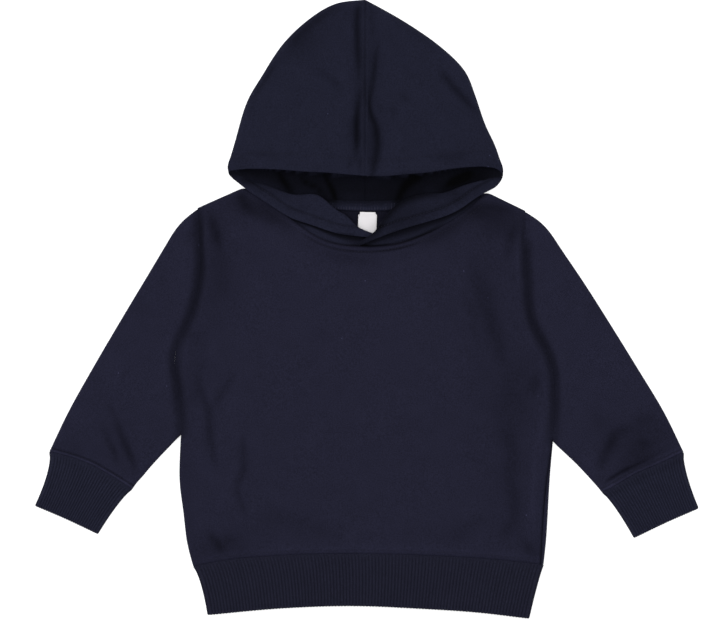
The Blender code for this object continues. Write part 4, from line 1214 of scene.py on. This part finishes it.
# %% Folds of the hood
CROWN_FOLDS = (
    # the trough left of the centre seam, in two lengths, and what splits off it
    ((-4, 554, 5, 0), (-6.5, 544, 6.5, -2), (-7, 527, 7, -2.4), (-6.5, 510, 6.5, -1.9), (-6, 495, 6, -1.3),
     (-5, 480, 5, 0)),
    ((4, 552, 5, 0), (6, 538, 5, -0.6), (6.5, 524, 5, -0.5), (7, 515, 5, 0)),
    ((-3.5, 479, 5, 0), (-6, 462, 6, -1.8), (-7.5, 445, 7, -2.6), (-7.5, 428, 7, -2.5), (-8, 417, 6, -1.2),
     (-9, 407, 5, 0)),
    ((-10, 447, 6, 0), (-13, 436, 7, -0.7), (-13, 423, 6, 0)),
    ((-12, 417, 5, 0), (-13.5, 406, 5, -0.8), (-15, 396, 5, 0)),
    ((-3, 415, 4, 0), (-4, 407, 4, -0.9), (-4, 398, 4, 0)),
    # the one to the right, which swings across and out again
    ((13, 523, 5, 0), (11.5, 512, 5, -1), (9.5, 500, 5, -1.6), (8, 486, 5.5, -1.7), (6.5, 474, 5, -1.7),
     (4, 462, 5, -1.9), (5.5, 451, 6, -2.2), (9.5, 441, 7.5, -2.4), (11, 430, 8.5, -2.3),
     (11, 419, 8.5, -2.2), (9, 409, 8.5, -2.2), (7, 395, 6, -1.2)),
    ((0, 487, 6, 0), (0.5, 472, 9, -1.1), (0, 457, 6, 0)),
    ((0, 427, 4, 0), (0.5, 412, 5, 0.7), (0, 398, 4, 0.4)),
    # slanting dents
    ((-47, 497, 9, 0), (-38, 488, 11, -0.7), (-28, 480, 11, -0.8), (-16, 466, 9, 0)),
    ((-28, 494, 8, 0), (-20, 486, 10, 0.6), (-12, 475, 8, 0)),
    ((24, 461, 7, 0), (25.5, 454, 8, -1), (25, 447, 7, 0)),
    ((29, 466, 8, 0), (36, 466, 10, -0.8), (43, 464, 8, 0)),
    ((12, 463, 6, 0), (16, 457, 7, -0.7), (20, 451, 6, 0)),
    # beside the outline
    ((-12, 553, 6, 0), (-26, 547, 8, -0.9), (-42, 537, 9, -1.1), (-60, 521, 9, -1.1), (-71, 506, 7, 0)),
    ((-77, 501, 5, 0), (-84, 491, 6, -1.2), (-95, 474, 6, -1.2), (-105, 459, 5, 0)),
    ((66, 492, 6, 0), (72, 485, 7, -1.4), (82, 473, 8, -1.9), (92, 462, 7, -1.6), (104, 448, 6, 0)),
    ((14, 546, 8, 0), (30, 535, 10, -0.4), (52, 519, 10, -0.4), (62, 509, 8, 0)),
    # above the brim
    ((52, 415, 8, 0), (66, 413, 10, -0.7), (84, 413, 10, -0.7), (98, 416, 8, 0)),
    ((-108, 418, 7, 0), (-94, 415, 8, -0.6), (-78, 413, 8, -0.4), (-66, 411, 7, 0)),
)
LAPEL_FOLDS = (
    ((-74, 368, 7, 0), (-60, 366, 9, -0.5), (-44, 369, 7, 0)),
    ((34, 360, 8, 0), (52, 370, 12, 0.4), (78, 381, 9, 0)),
    ((60, 367, 5, 0), (76, 372, 6, -0.5), (92, 379, 5, 0)),
)
# painted shade only, not pressed into the cloth: where the cloth inside the neck folds over itself,
# hardly any light arrives
INSIDE_FOLD_SHADE = (
    ((-39, 404, 4, 0), (-36, 396, 5, -1.2), (-30, 385, 6, -1.6), (-25, 370, 5, -1.3), (-22, 362, 4, 0)),
    ((-62, 400, 4, 0), (-54, 391, 5, -1.2), (-42, 384, 5, -1.2), (-33, 374, 4, 0)),
    ((-82, 404, 5, 0), (-76, 396, 7, -1.2), (-70, 386, 8, -1.3), (-64, 376, 6, 0)),
    ((55, 404, 8, 0), (48, 396, 12, -1.5), (38, 389, 12, -1.6), (30, 376, 8, -1.2), (24, 364, 5, 0)),
    ((100, 402, 6, 0), (90, 396, 9, -1.3), (78, 390, 9, -1.2), (66, 380, 6, 0)),
)
INSIDE_SHADES = (
    ((120, 400, 10, 0), (108, 397, 14, 0.06), (92, 394, 14, 0.14), (80, 390, 12, 0.1), (70, 386, 10, 0)),
    ((-20, 400, 10, 0), (-12, 396, 12, -0.08), (12, 396, 12, -0.1), (22, 398, 10, 0)),
    ((-26, 380, 8, 0), (-16, 377, 10, -0.14), (0, 376, 10, -0.08), (16, 377, 8, -0.03), (22, 379, 8, 0)),
    ((-64, 386, 8, 0), (-58, 382, 10, -0.14), (-44, 381, 8, -0.08), (-36, 376, 6, 0)),
    ((52, 386, 8, 0), (58, 382, 10, -0.12), (70, 383, 8, 0)),
)
HOOD_BACK_FOLDS = (
    ((-58, 470, 10, 0), (-44, 452, 15, 0.9), (-34, 428, 14, 0.8), (-30, 408, 10, 0)),
    ((36, 492, 10, 0), (40, 468, 15, 0.9), (34, 440, 13, 0)),
    ((-8, 520, 7, 0), (-9, 490, 9, 0.8), (-8, 458, 9, 0.9), (-9, 430, 7, 0)),
    ((8, 500, 7, 0), (9, 470, 9, 0.8), (10, 436, 8, 0)),
)
CROWN_SHADE = (
    ((0, 552, 20, 0.16), (0, 530, 16, 0.1), (0, 500, 22, 0.24), (0, 470, 20, 0.16), (1, 430, 26, 0.26),
     (0, 405, 20, 0.14), (0, 394, 14, 0.05)),
    ((-78, 512, 14, 0), (-70, 500, 18, -0.08), (-84, 480, 12, 0)),
    ((70, 500, 14, 0), (82, 482, 16, -0.1), (96, 462, 10, 0)),
    ((-4, 552, 14, 0), (-30, 540, 24, 0.12), (-60, 514, 24, 0.26), (-84, 488, 16, 0.06), (-104, 458, 14, 0)),
    ((60, 505, 12, 0), (78, 484, 16, 0.08), (98, 458, 16, 0.05), (112, 430, 10, 0)),
    ((60, 408, 16, 0), (86, 410, 24, 0.08), (112, 408, 20, 0.1), (124, 402, 12, 0.05)),
    ((-126, 402, 14, 0.18), (-114, 406, 18, 0.12), (-98, 412, 14, 0)),
)
LAPEL_SHADE = (
    ((71, 396, 8, 0), (80, 381, 13, 0.26), (88, 366, 8, 0)),
    ((-67, 394, 8, 0), (-60, 380, 12, 0.14), (-53, 366, 8, 0)),
    ((-128, 398, 12, 0.5), (-119, 395.5, 12, 0.62), (-110, 392.5, 10, 0.42), (-98, 388, 8, 0)),
    ((-110, 388, 12, 0), (-94, 380, 14, 0.12), (-78, 370, 12, 0.12), (-60, 360, 8, 0)),
    ((-31, 345, 3, 0), (-22, 343.8, 4, 0.4), (-12, 342.6, 4, 0.4), (-4, 342, 3, 0)),
    ((128, 396, 12, 0.22), (110, 386, 14, 0.18), (94, 379, 16, 0.24), (74, 369, 14, 0.08), (60, 362, 10, 0)),
)
HEM_WIDTH = 8.2         # of the face opening's hem, from its edge to its stitching
brim_line = drawn([row[0:2] for row in (*BRIMS["left"][:-1], *BRIMS["right"][::-1])], 80)
lapel_edges = {side: drawn([row[0:2] for row in rows]) for side, rows in LAPELS.items()}
lapel_rolls = {side: drawn([row[2:4] for row in rows]) for side, rows in LAPELS.items()}
centre_line = np.array([(0.0, 394.0), (0.0, 554.0)])


# %% Shade of the hood
def under_lapel(x, y, from_edge, side):
    """Painted shadow of a lapel on the strip between its edge and the neck seam: darkest just under the edge."""
    if side == "left":
        light = 0.02 + 0.3 * ease(-45, -60, x) + 0.36 * stripe(x, -8, 16)
        dark, reach = 0.80, 2.2 + 2.6 * stripe(x, -16, 32)
    else:
        light, dark, reach = 0.26, 0.74, 3.0 + 2.6 * stripe(x, 42, 56)
    return light + (dark - light) * np.exp(-(from_edge / reach) ** 4) + spread(x, y, NECK_LINES[:1])


# painted shade of a hood half: in the crown's troughs, a dark line on the centre seam with painted highlights beside
# it, and a line along the brim; deep painted shade under the brim and inside the neck; painted shadow under the lapel;
# on the lapel, the hem's line of shade, a painted highlight near its edge and shade towards its roll; on the underside
# the painted shade of its folds and centre seam
def hood_painted_shade(obj, side):
    x, y, z = garment_points(obj).T
    up, above = facing_up(obj), from_line(x, y, brim_line)
    from_edge = SIDES[side] * from_line(x, y, lapel_edges[side])        # plus is on the lapel
    from_roll = abs(from_line(x, y, lapel_rolls[side]))
    outer = ease(58, 84, abs(x))
    outer_roll = outer * ease(9.0, 0.0, from_roll)
    crown = (spread(x, y, CROWN_SHADE) - CROWN_SHADE_PER_MM * fold_heights(x, y, CROWN_FOLDS)
             + 0.24 * stripe(x, 0.0, 1.6) - 0.20 * stripe(x, -2.4, 1.6) - 0.16 * stripe(x, 1.9, 1.4)
             + 0.05 * stripe(above, 13.5, 2.2))
    inside = 0.78 - 0.14 * fold_heights(x, y, INSIDE_FOLD_SHADE) + spread(x, y, INSIDE_SHADES)
    lapel = (0.30 * stripe(from_edge, HEM_WIDTH, 2.6) - 0.08 * stripe(from_edge, 2.0, 3.0)
             - SHADE_PER_MM * fold_heights(x, y, LAPEL_FOLDS) + spread(x, y, LAPEL_SHADE))
    if side == "left":
        inside -= 0.25 * outer_roll
        lapel += 0.30 * outer_roll
    else:
        lapel += (0.12 * outer_roll + 0.14 * (1 - outer) + 0.22 * stripe(x, 34, 50)
                  + 0.45 * (1 - outer) * ease(7.0, 0.0, from_roll))
    lower, raised = ease(0.5, -0.5, above), ease(5.3, 5.9, z)
    top = lower * raised * ease(-0.7, 0.1, from_edge)
    strip = lower * ease(0.1, -0.7, from_edge) * ease(2.4, 3.4, z)
    deep = lower * (1 - raised) * (1 - strip) * up
    low = ease(3.6, 2.6, z) * (1 - up) * (
        SHADE_PER_MM * spread(x, y, HOOD_BACK_FOLDS) + 0.45 * stripe(x, 0, 3.0))
    keep_painted_shade(obj, ease(-3.0, 0.0, above) * ease(5.0, 8.0, z) * crown + top * lapel
                + strip * under_lapel(x, y, from_edge, side) + deep * inside + low)


# %% Hood
CROWN_LAYER, LAPEL_LAYER = (6.0, 9.0), (5.0, 6.6)       # heights between which these upper layers begin
hoods = {}
for side, outward in SIDES.items():
    hood = refine(hood_sheet(side))
    press(hood, CROWN_LAYER, CROWN_FOLDS, ((centre_line, 0.0, 7.0, 0.4), (centre_line, 0.0, 1.6, -0.5)))
    press(hood, LAPEL_LAYER, LAPEL_FOLDS, ((lapel_edges[side], HEM_WIDTH * outward, 2.6, -0.3),), waves=0.0)
    press_below(hood, HOOD_BACK_FOLDS)
    hood_painted_shade(thicken(hood), side)
    wear(hood, hood_fleece)
    hoods[side] = hood
print("hood:", [len(h.data.polygons) for h in hoods.values()], "faces")

# %% [markdown]
# ## Ribbed cuffs and waistband
# Rib is knitted in raised and sunken columns and is folded double, so its lower edge is a round fold and
# not a cut. The band is a tube whose section is a long loop: the outer face, the fold, and the inner
# face. Geometry Nodes then sink the columns between the ribs, which narrow with the band by themselves.

# %% Ribs
RIB_SAMPLES = 8
RIB_DEPTH = 0.0009      # of a groove between two ribs
RIB_SHADE = 0.28        # how much darker a groove's bottom looks than a rib's crest
BAND_SLACK = 1.6        # room between a band's two layers
RUN_OUT = (0.35, 0.8)   # share of their depth that the grooves have in the first rows beside the seam
FOLD_TURNS = (25, 50, 75, 90, 105, 130, 155)    # degrees round the fold at a band's edge


def end_tree(wires, geometry, given, result):
    """Makes the geometry plain smooth mesh in the given finish and hands it out."""
    mesh = wires.node("GeometryNodeRealizeInstances", {"Geometry": geometry})
    smoothed = wires.node("GeometryNodeSetShadeSmooth", {"Geometry": mesh})
    wires.give(result["Geometry"], wires.node(
        "GeometryNodeSetMaterial", {"Geometry": smoothed, "Material": given["Finish"]}))
    return wires.tree


def rib_nodes():
    wires, given, result = new_group(
        "GeometryNodeTree", "knitted_ribs",
        [("Geometry", "Geometry"), ("Float", "Depth", RIB_DEPTH), ("Material", "Finish")],
        [("Geometry", "Geometry")])
    rib, share = (wires.node("GeometryNodeInputNamedAttribute", {"Name": name}, "Attribute",
                             data_type="FLOAT") for name in ("rib", "rib_share"))
    wave = abs((rib * math.pi).reckon("SINE"))
    amount = (wave.reckon("POWER", 0.75) - 1.0) * given["Depth"] * share
    offset = wires.scaled(wires.node("GeometryNodeInputNormal"), amount)
    moved = wires.node("GeometryNodeSetPosition", {"Geometry": given["Geometry"], "Offset": offset})
    return end_tree(wires, moved, given, result)


RIBS = rib_nodes()


def rib_band(name, place, ribs, finish):
    half, count = RIB / 2, 2 * ribs * RIB_SAMPLES
    bottom, top = half, RIB + half + BAND_SLACK
    length = np.linalg.norm(place(0.5, 1.0) - place(0.5, 0.0))
    rows = []
    for v in np.linspace(0, 1 - half / length, BAND_STEPS + 1):
        width, inset, girth = flat_size(place(0.0, v), place(1.0, v), RIB)
        along = np.arange(count) / count * 2 * girth
        share, lift = on_tube(np.where(along > 1.5 * girth, along - 2 * girth, along), width)
        rows.append(np.column_stack((place(inset + share * (1 - 2 * inset), v),
                                     (top + bottom) / 2 + lift * (top - bottom) / 2)))
    middle = np.array(rows)
    down = np.gradient(middle, axis=0)
    down /= np.linalg.norm(down, axis=2, keepdims=True)
    out = np.cross(np.roll(middle, -1, axis=1) - np.roll(middle, 1, axis=1), down)
    out /= np.linalg.norm(out, axis=2, keepdims=True)
    if out[0, count // 4, 2] < 0:
        out = -out
    fold = np.radians(FOLD_TURNS)
    loop = np.array([*(middle + out * half),
                     *(middle[-1] + half * (out[-1] * math.cos(a) + down[-1] * math.sin(a)) for a in fold),
                     *(middle - out * half)[::-1],
                     *(middle[0] - out[0] * half * math.cos(a) - down[0] * 0.15 * math.sin(a) for a in fold)])
    index = np.arange(len(loop) * count).reshape(len(loop), count)
    following = np.roll(index, -1, 1)
    quads = np.stack((index, following, np.roll(following, -1, 0), np.roll(index, -1, 0)), -1)
    here, beside, below = loop[0, count // 4], loop[0, count // 4 + 1], loop[1, count // 4]
    if np.cross(beside - here, below - here)[2] < 0:
        quads = quads[..., ::-1]
    band = new_object(name, loop.reshape(-1, 3), quads.reshape(-1, 4).tolist())
    face = BAND_STEPS + 1
    share = np.concatenate((np.ones(face), np.cos(fold / 2) ** 2, np.zeros(face + len(fold))))
    share[:len(RUN_OUT)] = RUN_OUT
    keep_values(band, "rib", np.tile(np.arange(count) / RIB_SAMPLES + 0.5, len(loop)))
    keep_values(band, "rib_share", np.repeat(share, count))
    return run_nodes(band, RIBS, depth=RIB_DEPTH, finish=finish)


# %% Cuffs and waistband
waistband = rib_band("dressed_waistband", band_place(WAIST_SEAM, WAIST_HEM, WAIST_DRAWN_IN, SEAM_GAP),
                     WAIST_RIBS, rib_knit)
cuffs = {side: rib_band("dressed_cuff_" + side, band_place(*CUFFS[side], 2 * SEAM_GAP),
                        CUFF_RIBS, cuff_knit[side]) for side in SIDES}
# each band, its seam, the way into it and the painted shade just below the seam
BAND_SEAMS = ((waistband, waist_line, -1, 0.06), (cuffs["left"], cuff_lines["left"], -1, 0.14),
              (cuffs["right"], cuff_lines["right"], 1, 0.26))
for band, line, inward, shade in BAND_SEAMS:
    x, y, z = garment_points(band).T
    away = from_line(x, y, line)
    raise_points(band, ease(3.0, 6.0, z) * (slack(x, y, 0.12) - 1.2 * stripe(away, 0.0, 8.0)))
    places = np.empty(len(x), np.float32)
    band.data.attributes["rib"].data.foreach_get("value", places)
    groove = (1 - abs(np.sin(math.pi * places))) * ease(1.0, 4.0, abs(away))
    # painted shade in the grooves between ribs, along the seam and in a strip just below it
    keep_painted_shade(band, RIB_SHADE * groove + 0.12 * stripe(away, 0.0, 3.0)
                + shade * stripe(inward * away, 3.6, 5.0))
print("bands:", len(waistband.data.polygons), [len(c.data.polygons) for c in cuffs.values()], "faces")

# %% [markdown]
# ## Stitching
# A coverstitch shows as one row of short threads that sink a little into the cloth. The line of each seam
# is laid on the finished piece by dropping points onto it from above. Geometry Nodes then walk along the
# line, put one thread at each step, turn it along the seam and give it the thread's material.

# %% Stitches
STITCH_LIFT = 0.05      # height of a thread's middle above the cloth
DROP_SPACING = 1.5      # between the points that lay a line on the cloth
DROP_FROM, RISE_FROM = 0.1, -0.05       # heights in metres that the points start from, above and below


def thread_finish(name, colour):
    def twisted(wires, place):
        twist = wires.noise(place, 900.0, 2.0)
        return twist * 0.9 + 0.55, twist, 0.0001, 0.5

    return finish(name, colour, twisted, Roughness=0.85, Specular_IOR_Level=0.1)


navy_thread = thread_finish("navy_thread", (0.0105, 0.0107, 0.0205))
overlock_thread = thread_finish("overlock_thread", (0.0215, 0.0215, 0.0375))


def stitch_nodes():
    wires, given, result = new_group(
        "GeometryNodeTree", "stitch_row",
        [("Geometry", "Geometry"), ("Float", "Pitch", 0.003), ("Vector", "Thread", (0.0011, 0.0003, 0.00025)),
         ("Float", "Unevenness", 0.1), ("Int", "Seed", 3), ("Material", "Finish")],
        [("Geometry", "Geometry")])
    line = wires.node("GeometryNodeMeshToCurve", {"Mesh": given["Geometry"]})
    steps = wires.node("GeometryNodeResampleCurve", {"Curve": line, "Length": given["Pitch"]}, mode="LENGTH")
    tangent = wires.node("GeometryNodeInputTangent")
    turned = wires.node("FunctionNodeAlignRotationToVector", {"Vector": tangent}, axis="X")
    thread = wires.node("GeometryNodeMeshUVSphere", {"Segments": 6, "Rings": 5, "Radius": 1.0})
    placed = wires.node("GeometryNodeInstanceOnPoints", {
        "Points": steps, "Instance": thread, "Rotation": turned, "Scale": given["Thread"]})
    most = given["Unevenness"]
    chance = wires.node("FunctionNodeRandomValue", {"Min": most * -1.0, "Max": most, "Seed": given["Seed"]},
                        "Value", data_type="FLOAT")
    lean = wires.node("ShaderNodeCombineXYZ", {"Z": chance})
    leaning = wires.node("GeometryNodeRotateInstances", {"Instances": placed, "Rotation": lean})
    varied = wires.node("GeometryNodeScaleInstances", {"Instances": leaning, "Scale": chance * -1.2 + 1.0})
    return end_tree(wires, varied, given, result)


STITCHES = stitch_nodes()


def laid_on(targets, line, offset=0.0, first=0, last=0, below=False):
    """A plan line moved to the left of its direction, without its `first` and `last` points, and laid on
    the uppermost of the target pieces."""
    line = np.asarray(line, float)
    run = np.gradient(line, axis=0)
    left = np.column_stack((-run[:, 1], run[:, 0])) / np.linalg.norm(run, axis=1)[:, None]
    line = (line + offset * left)[first:len(line) - last]
    lengths = lengths_along(line)
    where = np.linspace(0, lengths[-1], max(int(lengths[-1] / DROP_SPACING), 2))
    found, up = [], -1 if below else 1
    for x, y in zip(*(np.interp(where, lengths, column) for column in line.T)):
        start = Vector(((x + ORIGIN[0]) * MM, (y + ORIGIN[1]) * MM, RISE_FROM if below else DROP_FROM))
        hits = [hit[1].z * up for hit in (t.ray_cast(start, Vector((0, 0, -up))) for t in targets) if hit[0]]
        if hits:
            found.append((x, y, up * (max(hits) / MM + STITCH_LIFT) - ORIGIN[2]))
    return found


def stitch(name, runs, pitch=3.0, thread=(2.1, 0.55, 0.42), finish=navy_thread, unevenness=0.1):
    """Rows of stitches along laid lines, as one mesh."""
    points, edges = [], []
    for run in runs:
        edges += [(len(points) + i, len(points) + i + 1) for i in range(len(run) - 1)]
        points += run
    return run_nodes(new_object(name, points, edges=edges), STITCHES, pitch=pitch * MM, finish=finish,
                     thread=tuple(s * MM / 2 for s in thread), unevenness=unevenness)


bpy.context.view_layer.update()
both_hoods = list(hoods.values())
waist_row = (waist_line, 3.6, 1, 1)
armhole_rows = [(armholes[side], -6.0 * outward, 1, 1) for side, outward in SIDES.items()]
stitching = {
    "neck_stitching": [laid_on([front], front_neck_line, -5.2, 2, 2)],
    "waist_stitching": [laid_on([front], *waist_row)],
    "armhole_stitching": [laid_on([front], *row) for row in armhole_rows],
    "crown_stitching": [laid_on(both_hoods, [(x, 396.0), (x, 551.0)]) for x in (-2.4, 2.2)],
    "brim_stitching": [laid_on(both_hoods, brim_line, 14.5, 4, 4)],
    "lapel_stitching": [laid_on([hoods["left"]], lapel_edges["left"], -HEM_WIDTH, 4, 9),
                        laid_on([hoods["right"]], lapel_edges["right"], HEM_WIDTH, 2, 9)],
    "back_stitching": [laid_on([back], *row, below=True)
                       for row in (waist_row, *armhole_rows, (back_neck_line, -5.2, 2, 2))],
    "cuff_stitching": [laid_on([sleeves[side]], drawn(CUFFS[side][0], 30), -3.4 * outward, 1, 1)
                       for side, outward in SIDES.items()],
}
rows_of_stitches = {name: stitch(name, runs) for name, runs in stitching.items()}
print("stitching:", {name: len(o.data.polygons) for name, o in rows_of_stitches.items()})

# %% [markdown]
# ## Neck seam and label
# Inside the neck, the hood's seam allowance is bound with an overlock stitch: a low soft ridge wrapped in
# upright threads. A small woven label is sewn in below it. It carries nothing.

# %% Neck seam
RIDGE_REACH = 44        # of the ridge that shows, to each side of the centre
RIDGE_HALF = 4.6        # half its width
RIDGE_ABOVE = 1.8       # its middle above the back neckline
places = np.linspace(-RIDGE_REACH, RIDGE_REACH, 60)
seam_line = np.column_stack((places, np.interp(places, *drawn(BACK_NECK, 80).T) + RIDGE_ABOVE))
neck_ridge = thicken(sheet("neck_seam_ridge", [
    [(x, y + off, 1.9 + 1.5 * math.sqrt(max(1 - (off / RIDGE_HALF) ** 2, 0)))
     for off in np.linspace(RIDGE_HALF, -RIDGE_HALF, 13)] for x, y in seam_line]), 0.6)
wear(neck_ridge, hood_fleece)
x, y, z = garment_points(neck_ridge).T
off = y - np.interp(x, *seam_line.T)
# painted shade on the ridge: darker over its upper half, at its lower rim and towards its ends, with a painted
# highlight along its lower half near the middle
keep_painted_shade(neck_ridge, 0.15 + 0.40 * ease(-1.5, 4.0, off) + 0.6 * ease(-3.6, -4.6, off)
            - 0.25 * stripe(off, -2.6, 3.0) * ease(26, 10, abs(x)) + 0.30 * ease(22, 28, abs(x)))
overlock = stitch("overlock_threads", [[(x, y - 0.4, 3.2) for x, y in seam_line]], pitch=2.45,
                  thread=(1.3, 7.4, 1.0), finish=overlock_thread, unevenness=0.06)
print("overlock:", len(overlock.data.polygons), "faces")

# %% Label
LABEL_CENTRE, LABEL_WIDTH, LABEL_LENGTH = np.array((2.1, 351.5)), 16.6, 24.0
LABEL_TILT = math.radians(-1.5)
LABEL_RIGHT = np.array((math.cos(LABEL_TILT), math.sin(LABEL_TILT)))
LABEL_UP = np.array((-math.sin(LABEL_TILT), math.cos(LABEL_TILT)))
CORNER_FROM = 0.42      # share of the half label where its upper corners start to round off


def label_point(u, v):
    """A point of the label, slightly bowed and raised at its sewn end."""
    corner = 1 - 75 * max(abs(u) - CORNER_FROM, 0) * max(v - CORNER_FROM, 0)
    plan = LABEL_CENTRE + LABEL_RIGHT * LABEL_WIDTH * u + LABEL_UP * LABEL_LENGTH * v * corner
    return (*plan, 2.25 + 0.25 * math.cos(2.4 * u) + 0.25 * ease(0.3, 0.5, v))


def woven(wires, place):
    weft = wires.node("ShaderNodeTexWave", {"Vector": place, "Scale": 700.0, "Distortion": 0.4}, "Fac",
                      bands_direction="Y")
    warp = wires.node("ShaderNodeTexWave", {"Vector": place, "Scale": 1100.0}, "Fac", bands_direction="X")
    weave = weft * warp
    return weave * 0.10 + 0.93, weave, 0.00005, 0.4


label = thicken(sheet("dressed_label", [[label_point(u, v) for u in np.linspace(-0.5, 0.5, 13)]
                                        for v in np.linspace(-0.5, 0.5, 19)]), 0.3)
wear(label, finish("woven_label", (0.72, 0.70, 0.72), woven, Roughness=0.45))

# %% [markdown]
# ## Floor, light and camera
# The garment lies on a white table under a large even light, the way a shop shows its clothes: nearly
# shadowless from above, with a little more from the upper left so that the creases show.

# %% Stage
TABLE_REACH, TABLE_TOP = 6, -0.0002     # in metres
table_finish = bpy.data.materials.new("white_table")
table_finish.use_nodes = True
for name, value in (("Base Color", (0.82, 0.82, 0.82, 1.0)), ("Roughness", 0.8),
                    ("Emission Color", (1.0, 1.0, 1.0, 1.0)), ("Emission Strength", 0.55)):
    table_finish.node_tree.nodes["Principled BSDF"].inputs[name].default_value = value

table_mesh = bpy.data.meshes.new("table_top")
table_mesh.from_pydata([(x * TABLE_REACH, y * TABLE_REACH, TABLE_TOP)
                        for x, y in ((-1, -1), (1, -1), (1, 1), (-1, 1))], [], [(0, 1, 2, 3)])
table_top = bpy.data.objects.new("table_top", table_mesh)
bpy.context.scene.collection.objects.link(table_top)
table_top.data.materials.append(table_finish)
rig.stage(table_top)

world = bpy.data.worlds.new("studio")
bpy.context.scene.world = world
world.use_nodes = True
world.node_tree.nodes["Background"].inputs["Color"].default_value = (1.0, 1.0, 1.0, 1.0)
world.node_tree.nodes["Background"].inputs["Strength"].default_value = 0.65


def soft_light(name, place, size, power):
    lamp = bpy.data.lights.new(name, "AREA")
    lamp.shape, lamp.size, lamp.energy = "SQUARE", size, power
    obj = bpy.data.objects.new(name, lamp)
    obj.location = place
    obj.rotation_euler = (-Vector(place)).to_track_quat("-Z", "Y").to_euler()
    bpy.context.scene.collection.objects.link(obj)


soft_light("overhead", (-0.2, 0.3, 2.6), 1.6, 26.0)
soft_light("left_side", (-2.0, 0.8, 1.4), 1.0, 16.0)
soft_light("right_side", (2.0, 0.4, 1.4), 1.0, 10.0)

# %% Camera
MM_PER_PIXEL, IMAGE_WIDTH, IMAGE_HEIGHT = 0.9, 708, 624
CENTRE_COLUMN, HEM_ROW = 365, 616       # where x = 0 and y = 0 of the garment fall in the image
CAMERA_HEIGHT, SENSOR = 6.0, 36.0
camera = bpy.data.objects.new("camera", bpy.data.cameras.new("camera"))
camera.data.sensor_width = SENSOR
camera.data.lens = SENSOR * CAMERA_HEIGHT / (IMAGE_WIDTH * MM_PER_PIXEL * MM)
camera.data.clip_start, camera.data.clip_end = 0.1, 50.0
middle = np.array((IMAGE_WIDTH / 2 - CENTRE_COLUMN, HEM_ROW - IMAGE_HEIGHT / 2)) * MM_PER_PIXEL + ORIGIN[:2]
camera.location = (*(middle * MM), CAMERA_HEIGHT + 0.004)
bpy.context.scene.collection.objects.link(camera)
bpy.context.scene.camera = camera
bpy.context.scene.view_settings.view_transform = "Standard"

# %% [markdown]
# ## What each piece is
# Every piece is cloth on one rigid body, because the garment has no joints. Each shell stands for its
# solid, and each sheet says the size that it is cut to.

# %% Bodies, finishes and cuts
def cut_of(obj, width, length, rests_on):
    area = sum(p.area for p in obj.data.polygons) / 2
    print(obj.name, "measures", round(area * 1e4), "cm2 of", round(width * length * 1e4))
    return dict(flat=(width, length), held="laid", rests_on=rests_on, area=min(area, width * length))


CUTS = (
    (front, "front", 0.352, 0.330, ["dressed_back"]),
    (back, "back", 0.352, 0.345, ["table_top"]),
    (sleeves["left"], "sleeve_left", 0.200, 0.256, ["table_top"]),
    (sleeves["right"], "sleeve_right", 0.200, 0.256, ["table_top"]),
    (cuffs["left"], "cuff_left", 0.175, 0.055, ["table_top"]),
    (cuffs["right"], "cuff_right", 0.175, 0.055, ["table_top"]),
    (waistband, "waistband", 0.640, 0.053, ["table_top"]),
    (hoods["left"], "hood_left", 0.215, 0.310, ["dressed_front", "table_top"]),
    (hoods["right"], "hood_right", 0.215, 0.310, ["dressed_front", "table_top"]),
    (label, "label", 0.0166, 0.024, ["dressed_back"]),
)
for obj, node, width, length, rests_on in CUTS:
    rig.ride(obj, "root")
    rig.replaces(obj, node)
    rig.slot(obj, "label" if node == "label" else "rib" if node.startswith(("cuff", "waist")) else "fleece")
    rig.sheet(obj, **cut_of(obj, width, length, rests_on))
for obj in (*rows_of_stitches.values(), overlock, neck_ridge):
    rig.ride(obj, "root")
    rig.slot(obj, "fleece")

dressed_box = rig.bounds()
with open("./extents.json", "w") as f:
    json.dump({"cad": [list(v) for v in cad_box], "dressed": [list(v) for v in dressed_box]}, f)
print("triangles:", sum(len(p.vertices) - 2 for o in bpy.data.objects
                        if o.type == "MESH" and not o.hide_render for p in o.data.polygons))
